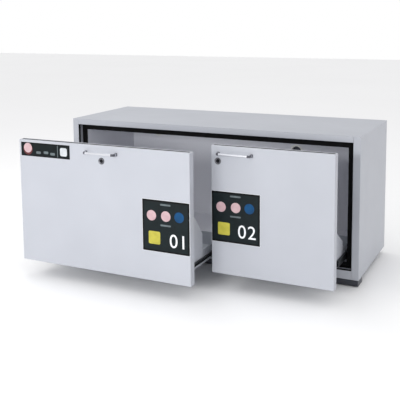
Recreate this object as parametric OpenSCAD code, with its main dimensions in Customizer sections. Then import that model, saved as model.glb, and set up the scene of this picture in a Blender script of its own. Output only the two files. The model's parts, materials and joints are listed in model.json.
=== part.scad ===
// Under-bench reagent cabinet with two fire-resistant drawers side by side.
// +Z is up. The origin is on the floor, under the centre of the casing's footprint.
// The drawers are drawn as far out as their pull-out values say.

/* [Casing] */
// Width of the casing
casing_w = 1402; // [1390:1:1440]
// Depth of the casing
casing_d = 502; // [502:1:540]
// Height of the casing without its base
casing_h = 600; // [590:1:640]
// Height of the black base under the casing
base_h = 30; // [28:1:40]
// Thickness of the casing's sheet steel
sheet_t = 1.5; // [1:0.1:2]
// Width of the front frame at each side
frame_side = 31; // [28:1:34]
// Height of the front frame at the top
frame_top = 27; // [26:1:34]
// Height of the front frame at the bottom
frame_bottom = 36; // [32:1:40]

/* [Walls] */
// Depth of the rebate that the closed fronts sit in
rebate_d = 38; // [38:0.5:42]
// Width of the black seal strips round the opening
seal_w = 27; // [24:1:27]
// Thickness of the black seal strips
seal_t = 3.5; // [2:0.1:3.5]
// Width of the thin black strips on the frame's returns
edge_strip_w = 13; // [8:1:16]
// Whole thickness of the back wall
back_wall = 36; // [36:1:44]
// Thickness of the grey lining
lining_t = 8; // [6:1:10]

/* [Drawer fronts] */
// Thickness of a drawer front
front_t = 32; // [30:0.5:32]
// Gap round the drawer fronts
front_gap = 3; // [2.5:0.5:4]
// Place of the gap between the two fronts, from the middle of the casing
split_x = 152.5; // [145:0.5:160]
// Thickness of a front's outer skin and of its inner liner
skin_t = 1.5; // [1:0.1:2]
// Width of the seal on the back of a front
front_seal_w = 6; // [4:0.5:6]
// Width of the dark strip let into the top edge of a front
top_strip_w = 14; // [10:1:16]

/* [Pull-out] */
// How far the left drawer is pulled out
left_out = 438; // [0:1:450]
// How far the right drawer is pulled out
right_out = 251; // [0:1:450]

/* [Trays and side brackets] */
// Depth of a tray
tray_d = 398; // [360:1:398]
// Height of a tray's walls
tray_h = 60; // [50:1:60]
// Distance from a front's inner edge to its side bracket
inner_inset = 39; // [38:0.5:42]
// Height of the left drawer's bracket plates where they meet the front
left_bracket_top = 400; // [360:5:420]
// Depth of the left drawer's bracket plates
left_bracket_d = 155; // [120:5:200]
// Height of the rear corner of the left drawer's bracket plates
left_bracket_knee = 228; // [200:2:260]
// Height of the lower rear corner of the left drawer's bracket plates
left_bracket_heel = 147; // [147:1:160]
// Height of the right drawer's bracket plates where they meet the front
right_bracket_top = 328; // [320:2:400]
// Depth of the right drawer's bracket plates
right_bracket_d = 232; // [200:1:280]
// Height of the rear corner of the right drawer's bracket plates
right_bracket_knee = 184; // [170:2:220]
// Height of the lower rear corner of the right drawer's bracket plates
right_bracket_heel = 155; // [147:1:160]

/* [Runners] */
// Length of each telescopic rail
rail_l = 400; // [380:5:400]
// Height of the outer rail
rail_h = 35; // [33:0.5:36]
// Width of a closed runner
rail_w = 13; // [13:0.5:13]
// Height of the runner's centre line above the floor
rail_z = 119.5; // [118:0.5:122]
// Length of a ball cage
cage_l = 150; // [100:10:150]
// Radius of the runner balls
ball_r = 1.4; // [1.2:0.1:1.4]
// Balls in each row of a ball cage
cage_balls = 6; // [4:1:8]

/* [Handles, locks and labels] */
// Length of a handle
handle_l = 152; // [140:1:170]
// How far a handle stands out
handle_d = 28; // [24:1:34]
// Height of the handle bar
handle_h = 10; // [8:1:14]
// Height of the handle bar's middle above the floor
handle_z = 569; // [560:1:576]
// Middle of the left handle
left_handle_x = -250; // [-300:0.5:-200]
// Middle of the right handle
right_handle_x = 258.5; // [242:0.5:400]
// Middle of the left lock
left_lock_x = -249; // [-300:1:-200]
// Middle of the right lock
right_lock_x = 184; // [178:1:240]
// Height of the locks above the floor
lock_z = 537; // [535:0.5:540]
// Radius of a lock's plug
plug_r = 7; // [6:0.1:7]
// Width and height of the label plates
label_w = 212; // [200:1:230]
// Distance from a label plate to the edge of its front
label_inset = 1; // [1:0.5:20]
// Middle height of the left label plate
left_label_z = 297.5; // [280:0.5:330]
// Middle height of the right label plate
right_label_z = 309.5; // [280:0.5:330]
// Width of the badge strip on the left front
badge_w = 252; // [200:1:270]
// Height of the badge strip
badge_h = 59; // [50:1:66]
// Distance from the badge strip to the top and the left edge of its front
badge_inset = 10.5; // [2:0.5:20]

/* [Air ports, earth stud and feet] */
// Middle of the left air port
left_port_x = -489; // [-500:1:-400]
// Middle of the right air port
right_port_x = 277; // [250:1:400]
// Height of the left air port above the floor
left_port_z = 520; // [500:1:525]
// Height of the right air port above the floor
right_port_z = 460; // [440:1:500]
// Outside radius of an air port's spigot
port_r = 25; // [24:0.5:26]
// How far a spigot stands out of the back
port_out = 30; // [20:1:40]
// Radius of the earth stud
earth_r = 4; // [3:0.5:5]
// Length of the earth stud outside the back
earth_l = 24; // [20:1:30]
// Depth of a base rail
base_rail_d = 72; // [60:1:80]
// Half the length of the rear base rail
rear_rail_x = 649; // [645:1:690]

/* [Hidden] */
$fn = 48;
x_out = casing_w/2;
y_front = -casing_d/2;
y_back = casing_d/2;
z_bottom = base_h;
z_top = base_h + casing_h;
x_open = x_out - frame_side;
z_open0 = z_bottom + frame_bottom;
z_open1 = z_top - frame_top;
y_rebate = y_front + rebate_d;
x_cav = x_open - seal_w;
x_board = x_cav + lining_t;
y_cav = y_back - back_wall;
y_board = y_cav + lining_t;
z_floor = z_open0 + seal_w;
z_ceil = z_open1 - seal_w;
z_under = z_floor - lining_t;
z_over = z_ceil + lining_t;
y_panel = y_back - 2*sheet_t;
flange_w = 20;
// Drawer fronts and what they carry, drawn closed
front_z0 = z_open0 + front_gap;
front_z1 = z_open1 - front_gap;
y_core = y_front + skin_t;
y_liner = y_front + front_t - skin_t;
y_rear = y_front + front_t;
left_x0 = -x_open + front_gap;
left_x1 = split_x - front_gap/2;
right_x0 = split_x + front_gap/2;
right_x1 = x_open - front_gap;
// Outer faces of the side brackets
left_s0 = -x_cav + rail_w;
left_s1 = left_x1 - inner_inset;
right_s0 = right_x0 + inner_inset;
right_s1 = x_cav - rail_w;
plate_t = 1.5;
tray_z = 97;
bracket_foot = 104;
bracket_tail_top = rail_z + 15.5;
flange_z0 = 165;
flange_x = 20;
bracket_screw_z0 = 185;
bracket_screw_pitch = 60;
bracket_screw_edge = 22;
tray_screws = [0.15, 0.38, 0.62, 0.85];
screw_r = 2.5;
screw_z = tray_z + 30;
handle_post = 9;
handle_bar = 8;
post_at = handle_l/2 - handle_post/2;
// Runner section, out from the bracket and up from the centre line
rail_t = 1.5;
y_rail = y_rebate + 2;
ball_gap = 3.5;
mid_h = rail_h - 2*rail_t - 2*ball_gap;
inner_h = mid_h - 2*rail_t - 2*ball_gap;
mid_w = rail_w - 3;
inner_w = rail_w - 6;
cage_y = y_rail + (rail_l - cage_l)/2;
cage_t = 0.6;
// Locks
barrel_r = 11;
plug_play = 0.1;
rosette_r = 14;
rosette_t = 3;
nut_t = 4;
cam_y = y_rear + 9;
cam_t = 2.5;
cam_reach = 51;
cam_hub = 8;
tail_w = 8;
keeper_x0 = -9;
keeper_x1 = 39;
keeper_t = 1.5;
keeper_up = 8;
keeper_y1 = cam_y + cam_t + 5;
// Ports
wall_play = 0.5;
ports = [[left_port_x, left_port_z], [right_port_x, right_port_z]];
port_t = 1.6;
port_flange = 8;
y_flap = (y_board + y_panel)/2;
flap_play = 0.8;
pin_r = 1.5;
// Base
base_gap = 2;
base_t = 2.5;
y_base = y_front + 3;
foot_x = [-x_out + 80, 0, x_out - 80];
y_foot = -y_base - base_rail_d/2;
// Labels
label_t = 0.6;

// ---- Helpers ----

// A block from its lowest corner a to its highest corner b
module block(a, b) {
    translate(a) cube(b - a);
}

// A cylinder along Y, from y0 to y1
module y_rod(x, z, y0, y1, r) {
    translate([x, y0, z]) rotate([-90, 0, 0]) cylinder(r = r, h = y1 - y0);
}

// Moves what a drawer carries by its share of the pull-out
module pulled(out, share = 1) {
    translate([0, -out*share, 0]) children();
}

// The same thing at the left and, mirrored, at the right
module both_sides() {
    children();
    mirror([1, 0, 0]) children();
}

// A profile drawn in Y and Z, run along X from x0 to x1
module along_x(x0, x1) {
    translate([x0, 0, 0]) rotate([90, 0, 90]) linear_extrude(x1 - x0) children();
}

// A profile drawn in X and Z, run along Y from y0 to y1
module along_y(y0, y1) {
    translate([0, y1, 0]) rotate([90, 0, 0]) linear_extrude(y1 - y0) children();
}

// ---- Casing ----

// Right side panel: folded at the front into the frame's upright and its return
module side_panel() {
    block([x_out - sheet_t, y_front, z_bottom], [x_out, y_back, z_top - sheet_t]);
    block([x_open, y_front, z_bottom], [x_out, y_front + sheet_t, z_top - sheet_t]);
    block([x_open, y_front, z_bottom + sheet_t], [x_open + sheet_t, y_rebate, z_top - sheet_t]);
    block([x_out - flange_w, y_back - sheet_t, z_bottom], [x_out, y_back, z_top - sheet_t]);
}

module left_side_panel() {
    color("gainsboro") mirror([1, 0, 0]) union() side_panel();
}

module right_side_panel() {
    color("gainsboro") union() side_panel();
}

module top_panel() {
    color("gainsboro") union() {
        block([-x_out, y_front, z_top - sheet_t], [x_out, y_back, z_top]);
        block([-x_open, y_front, z_open1], [x_open, y_front + sheet_t, z_top]);
        block([-x_open, y_front, z_open1], [x_open, y_rebate, z_open1 + sheet_t]);
        block([-x_out + flange_w, y_back - sheet_t, z_top - flange_w],
              [x_out - flange_w, y_back, z_top]);
    }
}

module bottom_panel() {
    color("gainsboro") union() {
        block([-x_out + sheet_t, y_front + sheet_t, z_bottom],
              [x_out - sheet_t, y_back - sheet_t, z_bottom + sheet_t]);
        block([-x_open, y_front, z_bottom], [x_open, y_front + sheet_t, z_open0]);
        block([-x_open, y_front, z_open0 - sheet_t], [x_open, y_rebate, z_open0]);
        block([-x_out + flange_w, y_back - 2*sheet_t, z_bottom],
              [x_out - flange_w, y_back, z_bottom + sheet_t]);
        block([-x_out + flange_w, y_back - sheet_t, z_bottom],
              [x_out - flange_w, y_back, z_bottom + flange_w]);
    }
}

module port_holes(y0, y1) {
    for (p = ports) y_rod(p[0], p[1], y0 - 1, y1 + 1, port_r + wall_play);
}

module back_panel() {
    color("lightgrey") difference() {
        block([-x_out + sheet_t, y_panel, z_bottom + sheet_t],
              [x_out - sheet_t, y_back - sheet_t, z_top - sheet_t]);
        port_holes(y_panel, y_back);
    }
}

// ---- Insulating boards and grey lining ----

module side_board() {
    block([x_board, y_rebate, z_bottom + sheet_t], [x_out - sheet_t, y_panel, z_top - sheet_t]);
    block([x_open + sheet_t, y_front + sheet_t, z_bottom + sheet_t],
          [x_out - sheet_t, y_rebate, z_top - sheet_t]);
}

module left_board() {
    color("beige") mirror([1, 0, 0]) union() side_board();
}

module right_board() {
    color("beige") union() side_board();
}

module top_board() {
    color("beige") difference() {
        union() {
            block([-x_board, y_rebate, z_over], [x_board, y_panel, z_top - sheet_t]);
            block([-x_open, y_front + sheet_t, z_open1 + sheet_t],
                  [x_open, y_rebate, z_top - sheet_t]);
        }
        keeper_blocks(0, 1);
    }
}

module bottom_board() {
    color("beige") union() {
        block([-x_board, y_rebate, z_bottom + sheet_t], [x_board, y_panel, z_under]);
        block([-x_open, y_front + sheet_t, z_bottom + sheet_t],
              [x_open, y_rebate, z_open0 - sheet_t]);
    }
}

module back_board() {
    color("beige") difference() {
        block([-x_board, y_board, z_under], [x_board, y_panel, z_over]);
        port_holes(y_board, y_panel);
    }
}

module top_lining() {
    color("darkgrey") difference() {
        block([-x_board, y_rebate, z_ceil], [x_board, y_board, z_over]);
        keeper_blocks(0, 1);
    }
}

module floor_lining() {
    color("darkgrey") block([-x_board, y_rebate, z_under], [x_board, y_board, z_floor]);
}

module right_lining() {
    color("darkgrey") block([x_cav, y_rebate, z_floor], [x_board, y_board, z_ceil]);
}

module left_lining() {
    color("darkgrey") block([-x_board, y_rebate, z_floor], [-x_cav, y_board, z_ceil]);
}

module back_lining() {
    color("darkgrey") difference() {
        block([-x_cav, y_cav, z_floor], [x_cav, y_board, z_ceil]);
        port_holes(y_cav, y_board);
    }
}

// Four black strips on the step behind the closed fronts, and four thin ones on the
// returns of the frame, in the gap round the fronts
module opening_seal() {
    y0 = y_rebate - seal_t;
    y_edge = y_front + 2;
    edge_t = front_gap/2;
    color("black") {
        both_sides() block([x_open - edge_t, y_edge, z_open0 + edge_t],
                           [x_open, y_edge + edge_strip_w, z_open1 - edge_t]);
        for (z = [z_open0, z_open1 - edge_t])
            block([-x_open, y_edge, z], [x_open, y_edge + edge_strip_w, z + edge_t]);
        both_sides() block([x_open - seal_w, y0, z_open0], [x_open, y_rebate, z_open1]);
        block([-x_open + seal_w, y0, z_ceil], [x_open - seal_w, y_rebate, z_open1]);
        block([-x_open + seal_w, y0, z_open0], [x_open - seal_w, y_rebate, z_floor]);
    }
}

// ---- Base ----

// Outline of a base rail's end in Y and Z: its front edges are round
module base_outline() {
    r = 8;
    translate([y_base + r, base_gap]) square([base_rail_d - r, base_h - base_gap]);
    translate([y_base, base_gap + r]) square([r, base_h - base_gap - 2*r]);
    translate([y_base + r, base_gap + r]) circle(r);
    translate([y_base + r, base_h - r]) circle(r);
}

// Front base rail from -x1 to x1: a channel open below, with an end plate at each end
module base_rail(x1) {
    lip = 8;
    end_t = 3;
    difference() {
        along_x(-x1, x1) base_outline();
        block([-x1 + end_t, y_base + lip, base_gap - 1],
              [x1 - end_t, y_base + base_rail_d - base_t, base_h - base_t]);
    }
}

module base_rails() {
    color("black") {
        base_rail(x_out - 3);
        mirror([0, 1, 0]) base_rail(rear_rail_x);
    }
}

// Cross bearer under the middle of the casing: a channel open below
module centre_bearer() {
    w = 30;
    y1 = -y_base - base_rail_d;
    color("black") difference() {
        block([-w, -y1, base_gap + 6], [w, y1, base_h]);
        block([-w + base_t, -y1 - 1, base_gap + 5], [w - base_t, y1 + 1, base_h - base_t]);
    }
}

// Levelling feet under the base rails and the bearer: pad, stud and lock nut
module levelling_feet() {
    pad_r = 20;
    pad_t = 6;
    stud_r = 5;
    nut_r = 9;
    nut_h = 8;
    web_z = base_h - base_t;
    spots = concat([[0, 0]], [for (x = foot_x, y = [-y_foot, y_foot]) [x, y]]);
    color("dimgrey") for (p = spots) translate([p[0], p[1], 0]) union() {
        cylinder(r = pad_r, h = pad_t);
        cylinder(r = stud_r, h = web_z);
        translate([0, 0, web_z - nut_h]) cylinder(r = nut_r, h = nut_h, $fn = 6);
    }
}

// ---- Air ports, fasteners and earth stud ----

// Two flanged tubes through the back wall, with bearing holes for the damper pins
module air_ports() {
    y1 = y_back + port_out;
    color("whitesmoke") for (p = ports) difference() {
        union() {
            y_rod(p[0], p[1], y_cav - 3, y_cav, port_r + port_flange);
            y_rod(p[0], p[1], y_cav - 1, y1, port_r);
            y_rod(p[0], p[1], y_back, y_back + 3, port_r + port_flange);
        }
        y_rod(p[0], p[1], y_cav - 4, y1 + 1, port_r - port_t);
        translate([p[0], y_flap, p[1] - port_r - 1])
            cylinder(r = pin_r + plug_play, h = 2*port_r + 2);
    }
}

// Round damper plate on an upright pin, drawn closed, in the port at p
module damper_flap(p) {
    r = port_r - port_t - flap_play;
    color("black") translate([p[0], y_flap, p[1]]) union() {
        y_rod(0, 0, -1, 1, r);
        translate([0, 0, -port_r + 0.4]) cylinder(r = pin_r, h = 2*port_r - 0.8);
    }
}

module left_damper_flap() {
    damper_flap(ports[0]);
}

module right_damper_flap() {
    damper_flap(ports[1]);
}

// Screws of the back panel, and of the centre support on the floor lining
module casing_screws() {
    head_r = 5;
    x_edge = x_out - flange_w/2;
    color("silver") {
        for (x = [-x_edge, x_edge], i = [0:4])
            y_rod(x, z_bottom + 60 + i*(casing_h - 120)/4, y_back, y_back + 2, head_r);
        for (z = [z_bottom + flange_w/2 + 1, z_top - flange_w/2 - 1], i = [0:5])
            y_rod(-x_out + 120 + i*(casing_w - 240)/5, z, y_back, y_back + 2, head_r);
        for (x = [left_s1 + 4, right_s0 - 4], i = [0:3])
            translate([x, y_rail + 40 + i*(rail_l - 80)/3, z_floor + 2]) cylinder(r = 4, h = 1.6);
    }
}

// Earth stud with its foot plate and nut, low on the back at the left
module earth_stud() {
    x = -x_out + 70;
    z = z_bottom + 90;
    plate_r = 11;
    nut_r = 7.5;
    nut_h = 6;
    color("goldenrod") {
        y_rod(x, z, y_panel + sheet_t, y_back + 1, plate_r);
        y_rod(x, z, y_back, y_back + earth_l, earth_r);
        translate([x, y_back + 1, z]) rotate([-90, 0, 0]) cylinder(r = nut_r, h = nut_h, $fn = 6);
    }
}

// ---- Runners ----

// Inverted channel on the floor that carries the two inner runners
module centre_runner_support() {
    x0 = left_s1 + rail_w;
    x1 = right_s0 - rail_w;
    t = 2;
    foot = 18;
    z1 = rail_z + rail_h/2 + 3;
    color("silver") union() {
        block([x0, y_rail, z_floor], [x0 + t, y_rail + rail_l, z1]);
        block([x1 - t, y_rail, z_floor], [x1, y_rail + rail_l, z1]);
        block([x0, y_rail, z1 - t], [x1, y_rail + rail_l, z1]);
        block([x0 - foot, y_rail, z_floor], [x0 + t, y_rail + rail_l, z_floor + t]);
        block([x1 - t, y_rail, z_floor], [x1 + foot, y_rail + rail_l, z_floor + t]);
    }
}

// A channel section whose web is at u1 and whose lips reach back to u0
module channel_2d(u0, u1, h) {
    translate([u1 - rail_t, -h/2]) square([rail_t, h]);
    translate([u0, h/2 - rail_t]) square([u1 - u0, rail_t]);
    translate([u0, -h/2]) square([u1 - u0, rail_t]);
}

// Puts a runner section at bracket face s, out towards side (1 right, -1 left)
module runner(s, side, y0, len) {
    translate([s, 0, rail_z]) mirror([side < 0 ? 1 : 0, 0, 0]) along_y(y0, y0 + len) children();
}

module outer_rail(s, side) {
    runner(s, side, y_rail, rail_l) channel_2d(1.5, rail_w, rail_h);
}

module mid_rail(s, side) {
    runner(s, side, y_rail, rail_l) channel_2d(1, mid_w, mid_h);
}

module inner_rail(s, side) {
    runner(s, side, y_rail, rail_l) union() {
        translate([0, -inner_h/2]) square([rail_t, inner_h]);
        translate([0, inner_h/2 - rail_t]) square([inner_w, rail_t]);
        translate([0, -inner_h/2]) square([inner_w, rail_t]);
    }
}

// A ball cage: thin channel with a row of balls in its top and its bottom
module ball_cage(s, side, u0, u1, h) {
    ball_u = u0 + 2.5;
    runner(s, side, cage_y, cage_l) union() {
        translate([u1 - cage_t, -h/2]) square([cage_t, h]);
        translate([u0, h/2 - cage_t/2]) square([u1 - u0, cage_t]);
        translate([u0, -h/2 - cage_t/2]) square([u1 - u0, cage_t]);
    }
    for (i = [0:cage_balls - 1], w = [-h/2, h/2])
        translate([s + side*ball_u, cage_y + (i + 0.5)*cage_l/cage_balls, rail_z + w])
            sphere(r = ball_r, $fn = 16);
}

module outer_cage(s, side) {
    ball_cage(s, side, 3, mid_w + 1, mid_h + ball_gap);
}

module inner_cage(s, side) {
    ball_cage(s, side, 2, inner_w + 1.1, inner_h + ball_gap);
}

module outer_rails() {
    color("silver") {
        outer_rail(left_s0, -1);
        outer_rail(left_s1, 1);
        outer_rail(right_s0, -1);
        outer_rail(right_s1, 1);
    }
}

module left_mid_rails() {
    color("silver") pulled(left_out, 0.5) {
        mid_rail(left_s0, -1);
        mid_rail(left_s1, 1);
    }
}

module right_mid_rails() {
    color("silver") pulled(right_out, 0.5) {
        mid_rail(right_s0, -1);
        mid_rail(right_s1, 1);
    }
}

module left_inner_rails() {
    color("silver") pulled(left_out) {
        inner_rail(left_s0, -1);
        inner_rail(left_s1, 1);
    }
}

module right_inner_rails() {
    color("silver") pulled(right_out) {
        inner_rail(right_s0, -1);
        inner_rail(right_s1, 1);
    }
}

module left_outer_cages() {
    color("dimgrey") pulled(left_out, 0.25) {
        outer_cage(left_s0, -1);
        outer_cage(left_s1, 1);
    }
}

module right_outer_cages() {
    color("dimgrey") pulled(right_out, 0.25) {
        outer_cage(right_s0, -1);
        outer_cage(right_s1, 1);
    }
}

module left_inner_cages() {
    color("dimgrey") pulled(left_out, 0.75) {
        inner_cage(left_s0, -1);
        inner_cage(left_s1, 1);
    }
}

module right_inner_cages() {
    color("dimgrey") pulled(right_out, 0.75) {
        inner_cage(right_s0, -1);
        inner_cage(right_s1, 1);
    }
}

// ---- Drawer fronts ----

// Holes through a front for the lock barrel and the two handle screws
module front_holes(lock_x, handle_x) {
    y_rod(lock_x, lock_z, y_front - 1, y_rear + 1, barrel_r + 0.2);
    for (x = [handle_x - post_at, handle_x + post_at])
        y_rod(x, handle_z, y_front - 1, y_rear + 1, screw_r + 0.1);
}

// Holes in a front for the screws of its brackets and its tray
module fixing_holes(s0, s1, top) {
    for (p = fixing_points(s0, s1, top)) y_rod(p[0], p[1], y_rear - 12, y_rear + 1, screw_r - 0.4);
}

// Heights of the screws of a bracket that reaches up to top
function bracket_screws(top) =
    [bracket_screw_z0 : bracket_screw_pitch : top - bracket_screw_edge];

function fixing_points(s0, s1, top) = concat(
    [for (z = bracket_screws(top), x = [s0 + flange_x/2 + 1, s1 - flange_x/2 - 1]) [x, z]],
    [for (k = tray_screws) [s0 + k*(s1 - s0), screw_z]]
);

// Dark strip let into the top edge of a front's skin; the cut for it reaches up a little more
module top_strip(x0, x1, more = 0) {
    end = 6;
    y0 = y_front + 9;
    block([x0 + end, y0, front_z1 - skin_t], [x1 - end, y0 + top_strip_w, front_z1 + more]);
}

module front_skin(x0, x1, lock_x, handle_x) {
    difference() {
        block([x0, y_front, front_z0], [x1, y_liner, front_z1]);
        block([x0 + skin_t, y_core, front_z0 + skin_t], [x1 - skin_t, y_liner + 1, front_z1 - skin_t]);
        top_strip(x0, x1, 1);
        front_holes(lock_x, handle_x);
    }
}

module front_core(x0, x1, s0, s1, top, lock_x, handle_x) {
    difference() {
        block([x0 + skin_t, y_core, front_z0 + skin_t], [x1 - skin_t, y_liner, front_z1 - skin_t]);
        front_holes(lock_x, handle_x);
        fixing_holes(s0, s1, top);
    }
}

module front_liner(x0, x1, s0, s1, top, lock_x, handle_x) {
    difference() {
        block([x0, y_liner, front_z0], [x1, y_rear, front_z1]);
        front_holes(lock_x, handle_x);
        fixing_holes(s0, s1, top);
    }
}

// Black seal round the back of a front, and the strip in its top edge
module front_seal(x0, x1) {
    edge = 2;
    t = 2;
    w = edge + front_seal_w;
    top_strip(x0, x1);
    difference() {
        block([x0 + edge, y_rear, front_z0 + edge], [x1 - edge, y_rear + t, front_z1 - edge]);
        block([x0 + w, y_rear - 1, front_z0 + w], [x1 - w, y_rear + t + 1, front_z1 - w]);
    }
}

// Bow handle: one bent bar with round outer corners and two feet
module bow_handle(x) {
    r = 9;
    translate([x, 0, handle_z - handle_h/2]) difference() {
        linear_extrude(handle_h) difference() {
            union() {
                translate([-handle_l/2, y_front - handle_d + r]) square([handle_l, handle_d - r]);
                translate([-handle_l/2 + r, y_front - handle_d]) square([handle_l - 2*r, r]);
                for (dx = [-handle_l/2 + r, handle_l/2 - r])
                    translate([dx, y_front - handle_d + r]) circle(r);
            }
            translate([-handle_l/2 + handle_post, y_front - handle_d + handle_bar])
                square([handle_l - 2*handle_post, handle_d]);
        }
        for (dx = [-post_at, post_at])
            y_rod(dx, handle_h/2, y_front - 14, y_front + 1, screw_r + 0.1);
    }
}

// Pan-head screws: two for the handle, the rest for brackets and tray
module drawer_screws(s0, s1, top, handle_x) {
    head = 2.4;
    head_r = 4.5;
    seat = y_rear + plate_t;
    for (dx = [-post_at, post_at]) {
        y_rod(handle_x + dx, handle_z, y_front - 12, y_rear + 1, screw_r);
        y_rod(handle_x + dx, handle_z, y_rear, y_rear + head, head_r);
    }
    for (p = fixing_points(s0, s1, top)) {
        y_rod(p[0], p[1], y_rear - 11, seat + 1, screw_r - 0.5);
        y_rod(p[0], p[1], seat, seat + head, head_r);
    }
}

// ---- Locks ----

module lock_barrel(x) {
    difference() {
        union() {
            y_rod(x, lock_z, y_front - rosette_t, y_front, rosette_r);
            y_rod(x, lock_z, y_front - 1, y_rear + nut_t, barrel_r);
            translate([x, y_rear, lock_z]) rotate([-90, 0, 0])
                cylinder(r = barrel_r + 1.5, h = nut_t, $fn = 6);
        }
        y_rod(x, lock_z, y_front - rosette_t - 1, y_rear + nut_t + 1, plug_r + plug_play);
    }
}

module lock_plug(x) {
    difference() {
        union() {
            y_rod(x, lock_z, y_front - rosette_t - 0.5, cam_y, plug_r);
            block([x - tail_w/2, cam_y - 1, lock_z - tail_w/2],
                  [x + tail_w/2, cam_y + cam_t + 1, lock_z + tail_w/2]);
        }
        block([x - 0.8, y_front - rosette_t - 1, lock_z - 4.5],
              [x + 0.8, y_front + 5, lock_z + 4.5]);
    }
}

// Cam on the plug's square tail, drawn unlocked, pointing right
module lock_cam(x) {
    tip_r = 5;
    translate([x, 0, lock_z]) along_y(cam_y, cam_y + cam_t) difference() {
        union() {
            circle(cam_hub);
            translate([0, -tip_r]) square([cam_reach - tip_r, 2*tip_r]);
            translate([cam_reach - tip_r, 0]) circle(tip_r);
        }
        translate([-tail_w/2, -tail_w/2]) square(tail_w);
    }
}

// The space of each keeper in the ceiling, made smaller by wall on every side but the open
// one below, where it reaches down by more
module keeper_blocks(wall, more) {
    for (x = [left_lock_x, right_lock_x])
        block([x + keeper_x0 + wall, y_rebate + wall, z_ceil - more],
              [x + keeper_x1 - wall, keeper_y1 - wall, z_over + keeper_up - wall]);
}

// Pressed cups let into the ceiling lining, open below, that the cams turn up into
module lock_keepers() {
    color("silver") difference() {
        keeper_blocks(0, 0);
        keeper_blocks(keeper_t, 1);
    }
}

// ---- Trays and brackets ----

module tray(s0, s1) {
    t = plate_t;
    difference() {
        block([s0 + t, y_rear, tray_z], [s1 - t, y_rear + tray_d, tray_z + tray_h]);
        block([s0 + 2*t, y_rear + t, tray_z + t], [s1 - 2*t, y_rear + tray_d - t, tray_z + tray_h + 1]);
        for (k = tray_screws)
            y_rod(s0 + k*(s1 - s0), screw_z, y_rear - 1, y_rear + t + 1, screw_r - 0.4);
    }
}

// Side bracket whose outer face is at s: plate up to top at the front, tail at the runner
module bracket(s, side, depth, knee, heel, top) {
    outline = [
        [y_rear, bracket_foot], [y_rear, top], [y_rear + 12, top],
        [y_rear + depth, knee], [y_rear + depth, heel],
        [y_rear + depth - 10, bracket_tail_top], [y_rear + tray_d, bracket_tail_top],
        [y_rear + tray_d, bracket_foot]
    ];
    x0 = side > 0 ? s - plate_t : s;
    x1 = side > 0 ? s - flange_x : s + flange_x;
    difference() {
        union() {
            along_x(x0, x0 + plate_t) polygon(outline);
            block([min(x0, x1), y_rear, flange_z0],
                  [max(x0 + plate_t, x1), y_rear + plate_t, top]);
        }
        for (z = bracket_screws(top))
            y_rod(s - side*(flange_x/2 + 1), z, y_rear - 1, y_rear + plate_t + 1, screw_r - 0.4);
    }
}

// Square label plate whose left edge is at x and whose middle is at height z
module label_plate(x, z) {
    block([x, y_front - label_t, z - label_w/2], [x + label_w, y_front, z + label_w/2]);
}

// ---- Left drawer ----

module left_front_skin() {
    color("gainsboro") pulled(left_out) front_skin(left_x0, left_x1, left_lock_x, left_handle_x);
}

module left_front_core() {
    color("beige") pulled(left_out)
        front_core(left_x0, left_x1, left_s0, left_s1, left_bracket_top, left_lock_x,
                   left_handle_x);
}

module left_front_liner() {
    color("gainsboro") pulled(left_out)
        front_liner(left_x0, left_x1, left_s0, left_s1, left_bracket_top, left_lock_x,
                    left_handle_x);
}

module left_front_seal() {
    color("black") pulled(left_out) front_seal(left_x0, left_x1);
}

module left_handle() {
    color("whitesmoke") pulled(left_out) bow_handle(left_handle_x);
}

module left_screws() {
    color("silver") pulled(left_out)
        drawer_screws(left_s0, left_s1, left_bracket_top, left_handle_x);
}

module left_lock_barrel() {
    color("silver") pulled(left_out) lock_barrel(left_lock_x);
}

module left_lock_plug() {
    color("dimgrey") pulled(left_out) lock_plug(left_lock_x);
}

module left_lock_cam() {
    color("silver") pulled(left_out) lock_cam(left_lock_x);
}

module left_tray() {
    color("lightgrey") pulled(left_out) tray(left_s0, left_s1);
}

module left_brackets() {
    color("gainsboro") pulled(left_out) {
        for (end = [[left_s0, -1], [left_s1, 1]])
            bracket(end[0], end[1], left_bracket_d, left_bracket_knee, left_bracket_heel,
                    left_bracket_top);
    }
}

module left_label_plate() {
    color("darkslategrey") pulled(left_out)
        label_plate(left_x1 - label_inset - label_w, left_label_z);
}

module badge_strip() {
    color("black") pulled(left_out)
        block([left_x0 + badge_inset, y_front - label_t, front_z1 - badge_inset - badge_h],
              [left_x0 + badge_inset + badge_w, y_front, front_z1 - badge_inset]);
}

// ---- Right drawer ----

module right_front_skin() {
    color("gainsboro") pulled(right_out)
        front_skin(right_x0, right_x1, right_lock_x, right_handle_x);
}

module right_front_core() {
    color("beige") pulled(right_out)
        front_core(right_x0, right_x1, right_s0, right_s1, right_bracket_top, right_lock_x,
                   right_handle_x);
}

module right_front_liner() {
    color("gainsboro") pulled(right_out)
        front_liner(right_x0, right_x1, right_s0, right_s1, right_bracket_top, right_lock_x,
                    right_handle_x);
}

module right_front_seal() {
    color("black") pulled(right_out) front_seal(right_x0, right_x1);
}

module right_handle() {
    color("whitesmoke") pulled(right_out) bow_handle(right_handle_x);
}

module right_screws() {
    color("silver") pulled(right_out)
        drawer_screws(right_s0, right_s1, right_bracket_top, right_handle_x);
}

module right_lock_barrel() {
    color("silver") pulled(right_out) lock_barrel(right_lock_x);
}

module right_lock_plug() {
    color("dimgrey") pulled(right_out) lock_plug(right_lock_x);
}

module right_lock_cam() {
    color("silver") pulled(right_out) lock_cam(right_lock_x);
}

module right_tray() {
    color("lightgrey") pulled(right_out) tray(right_s0, right_s1);
}

module right_brackets() {
    color("gainsboro") pulled(right_out) {
        for (end = [[right_s0, -1], [right_s1, 1]])
            bracket(end[0], end[1], right_bracket_d, right_bracket_knee, right_bracket_heel,
                    right_bracket_top);
    }
}

module right_label_plate() {
    color("darkslategrey") pulled(right_out)
        label_plate(right_x0 + label_inset, right_label_z);
}

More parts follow.
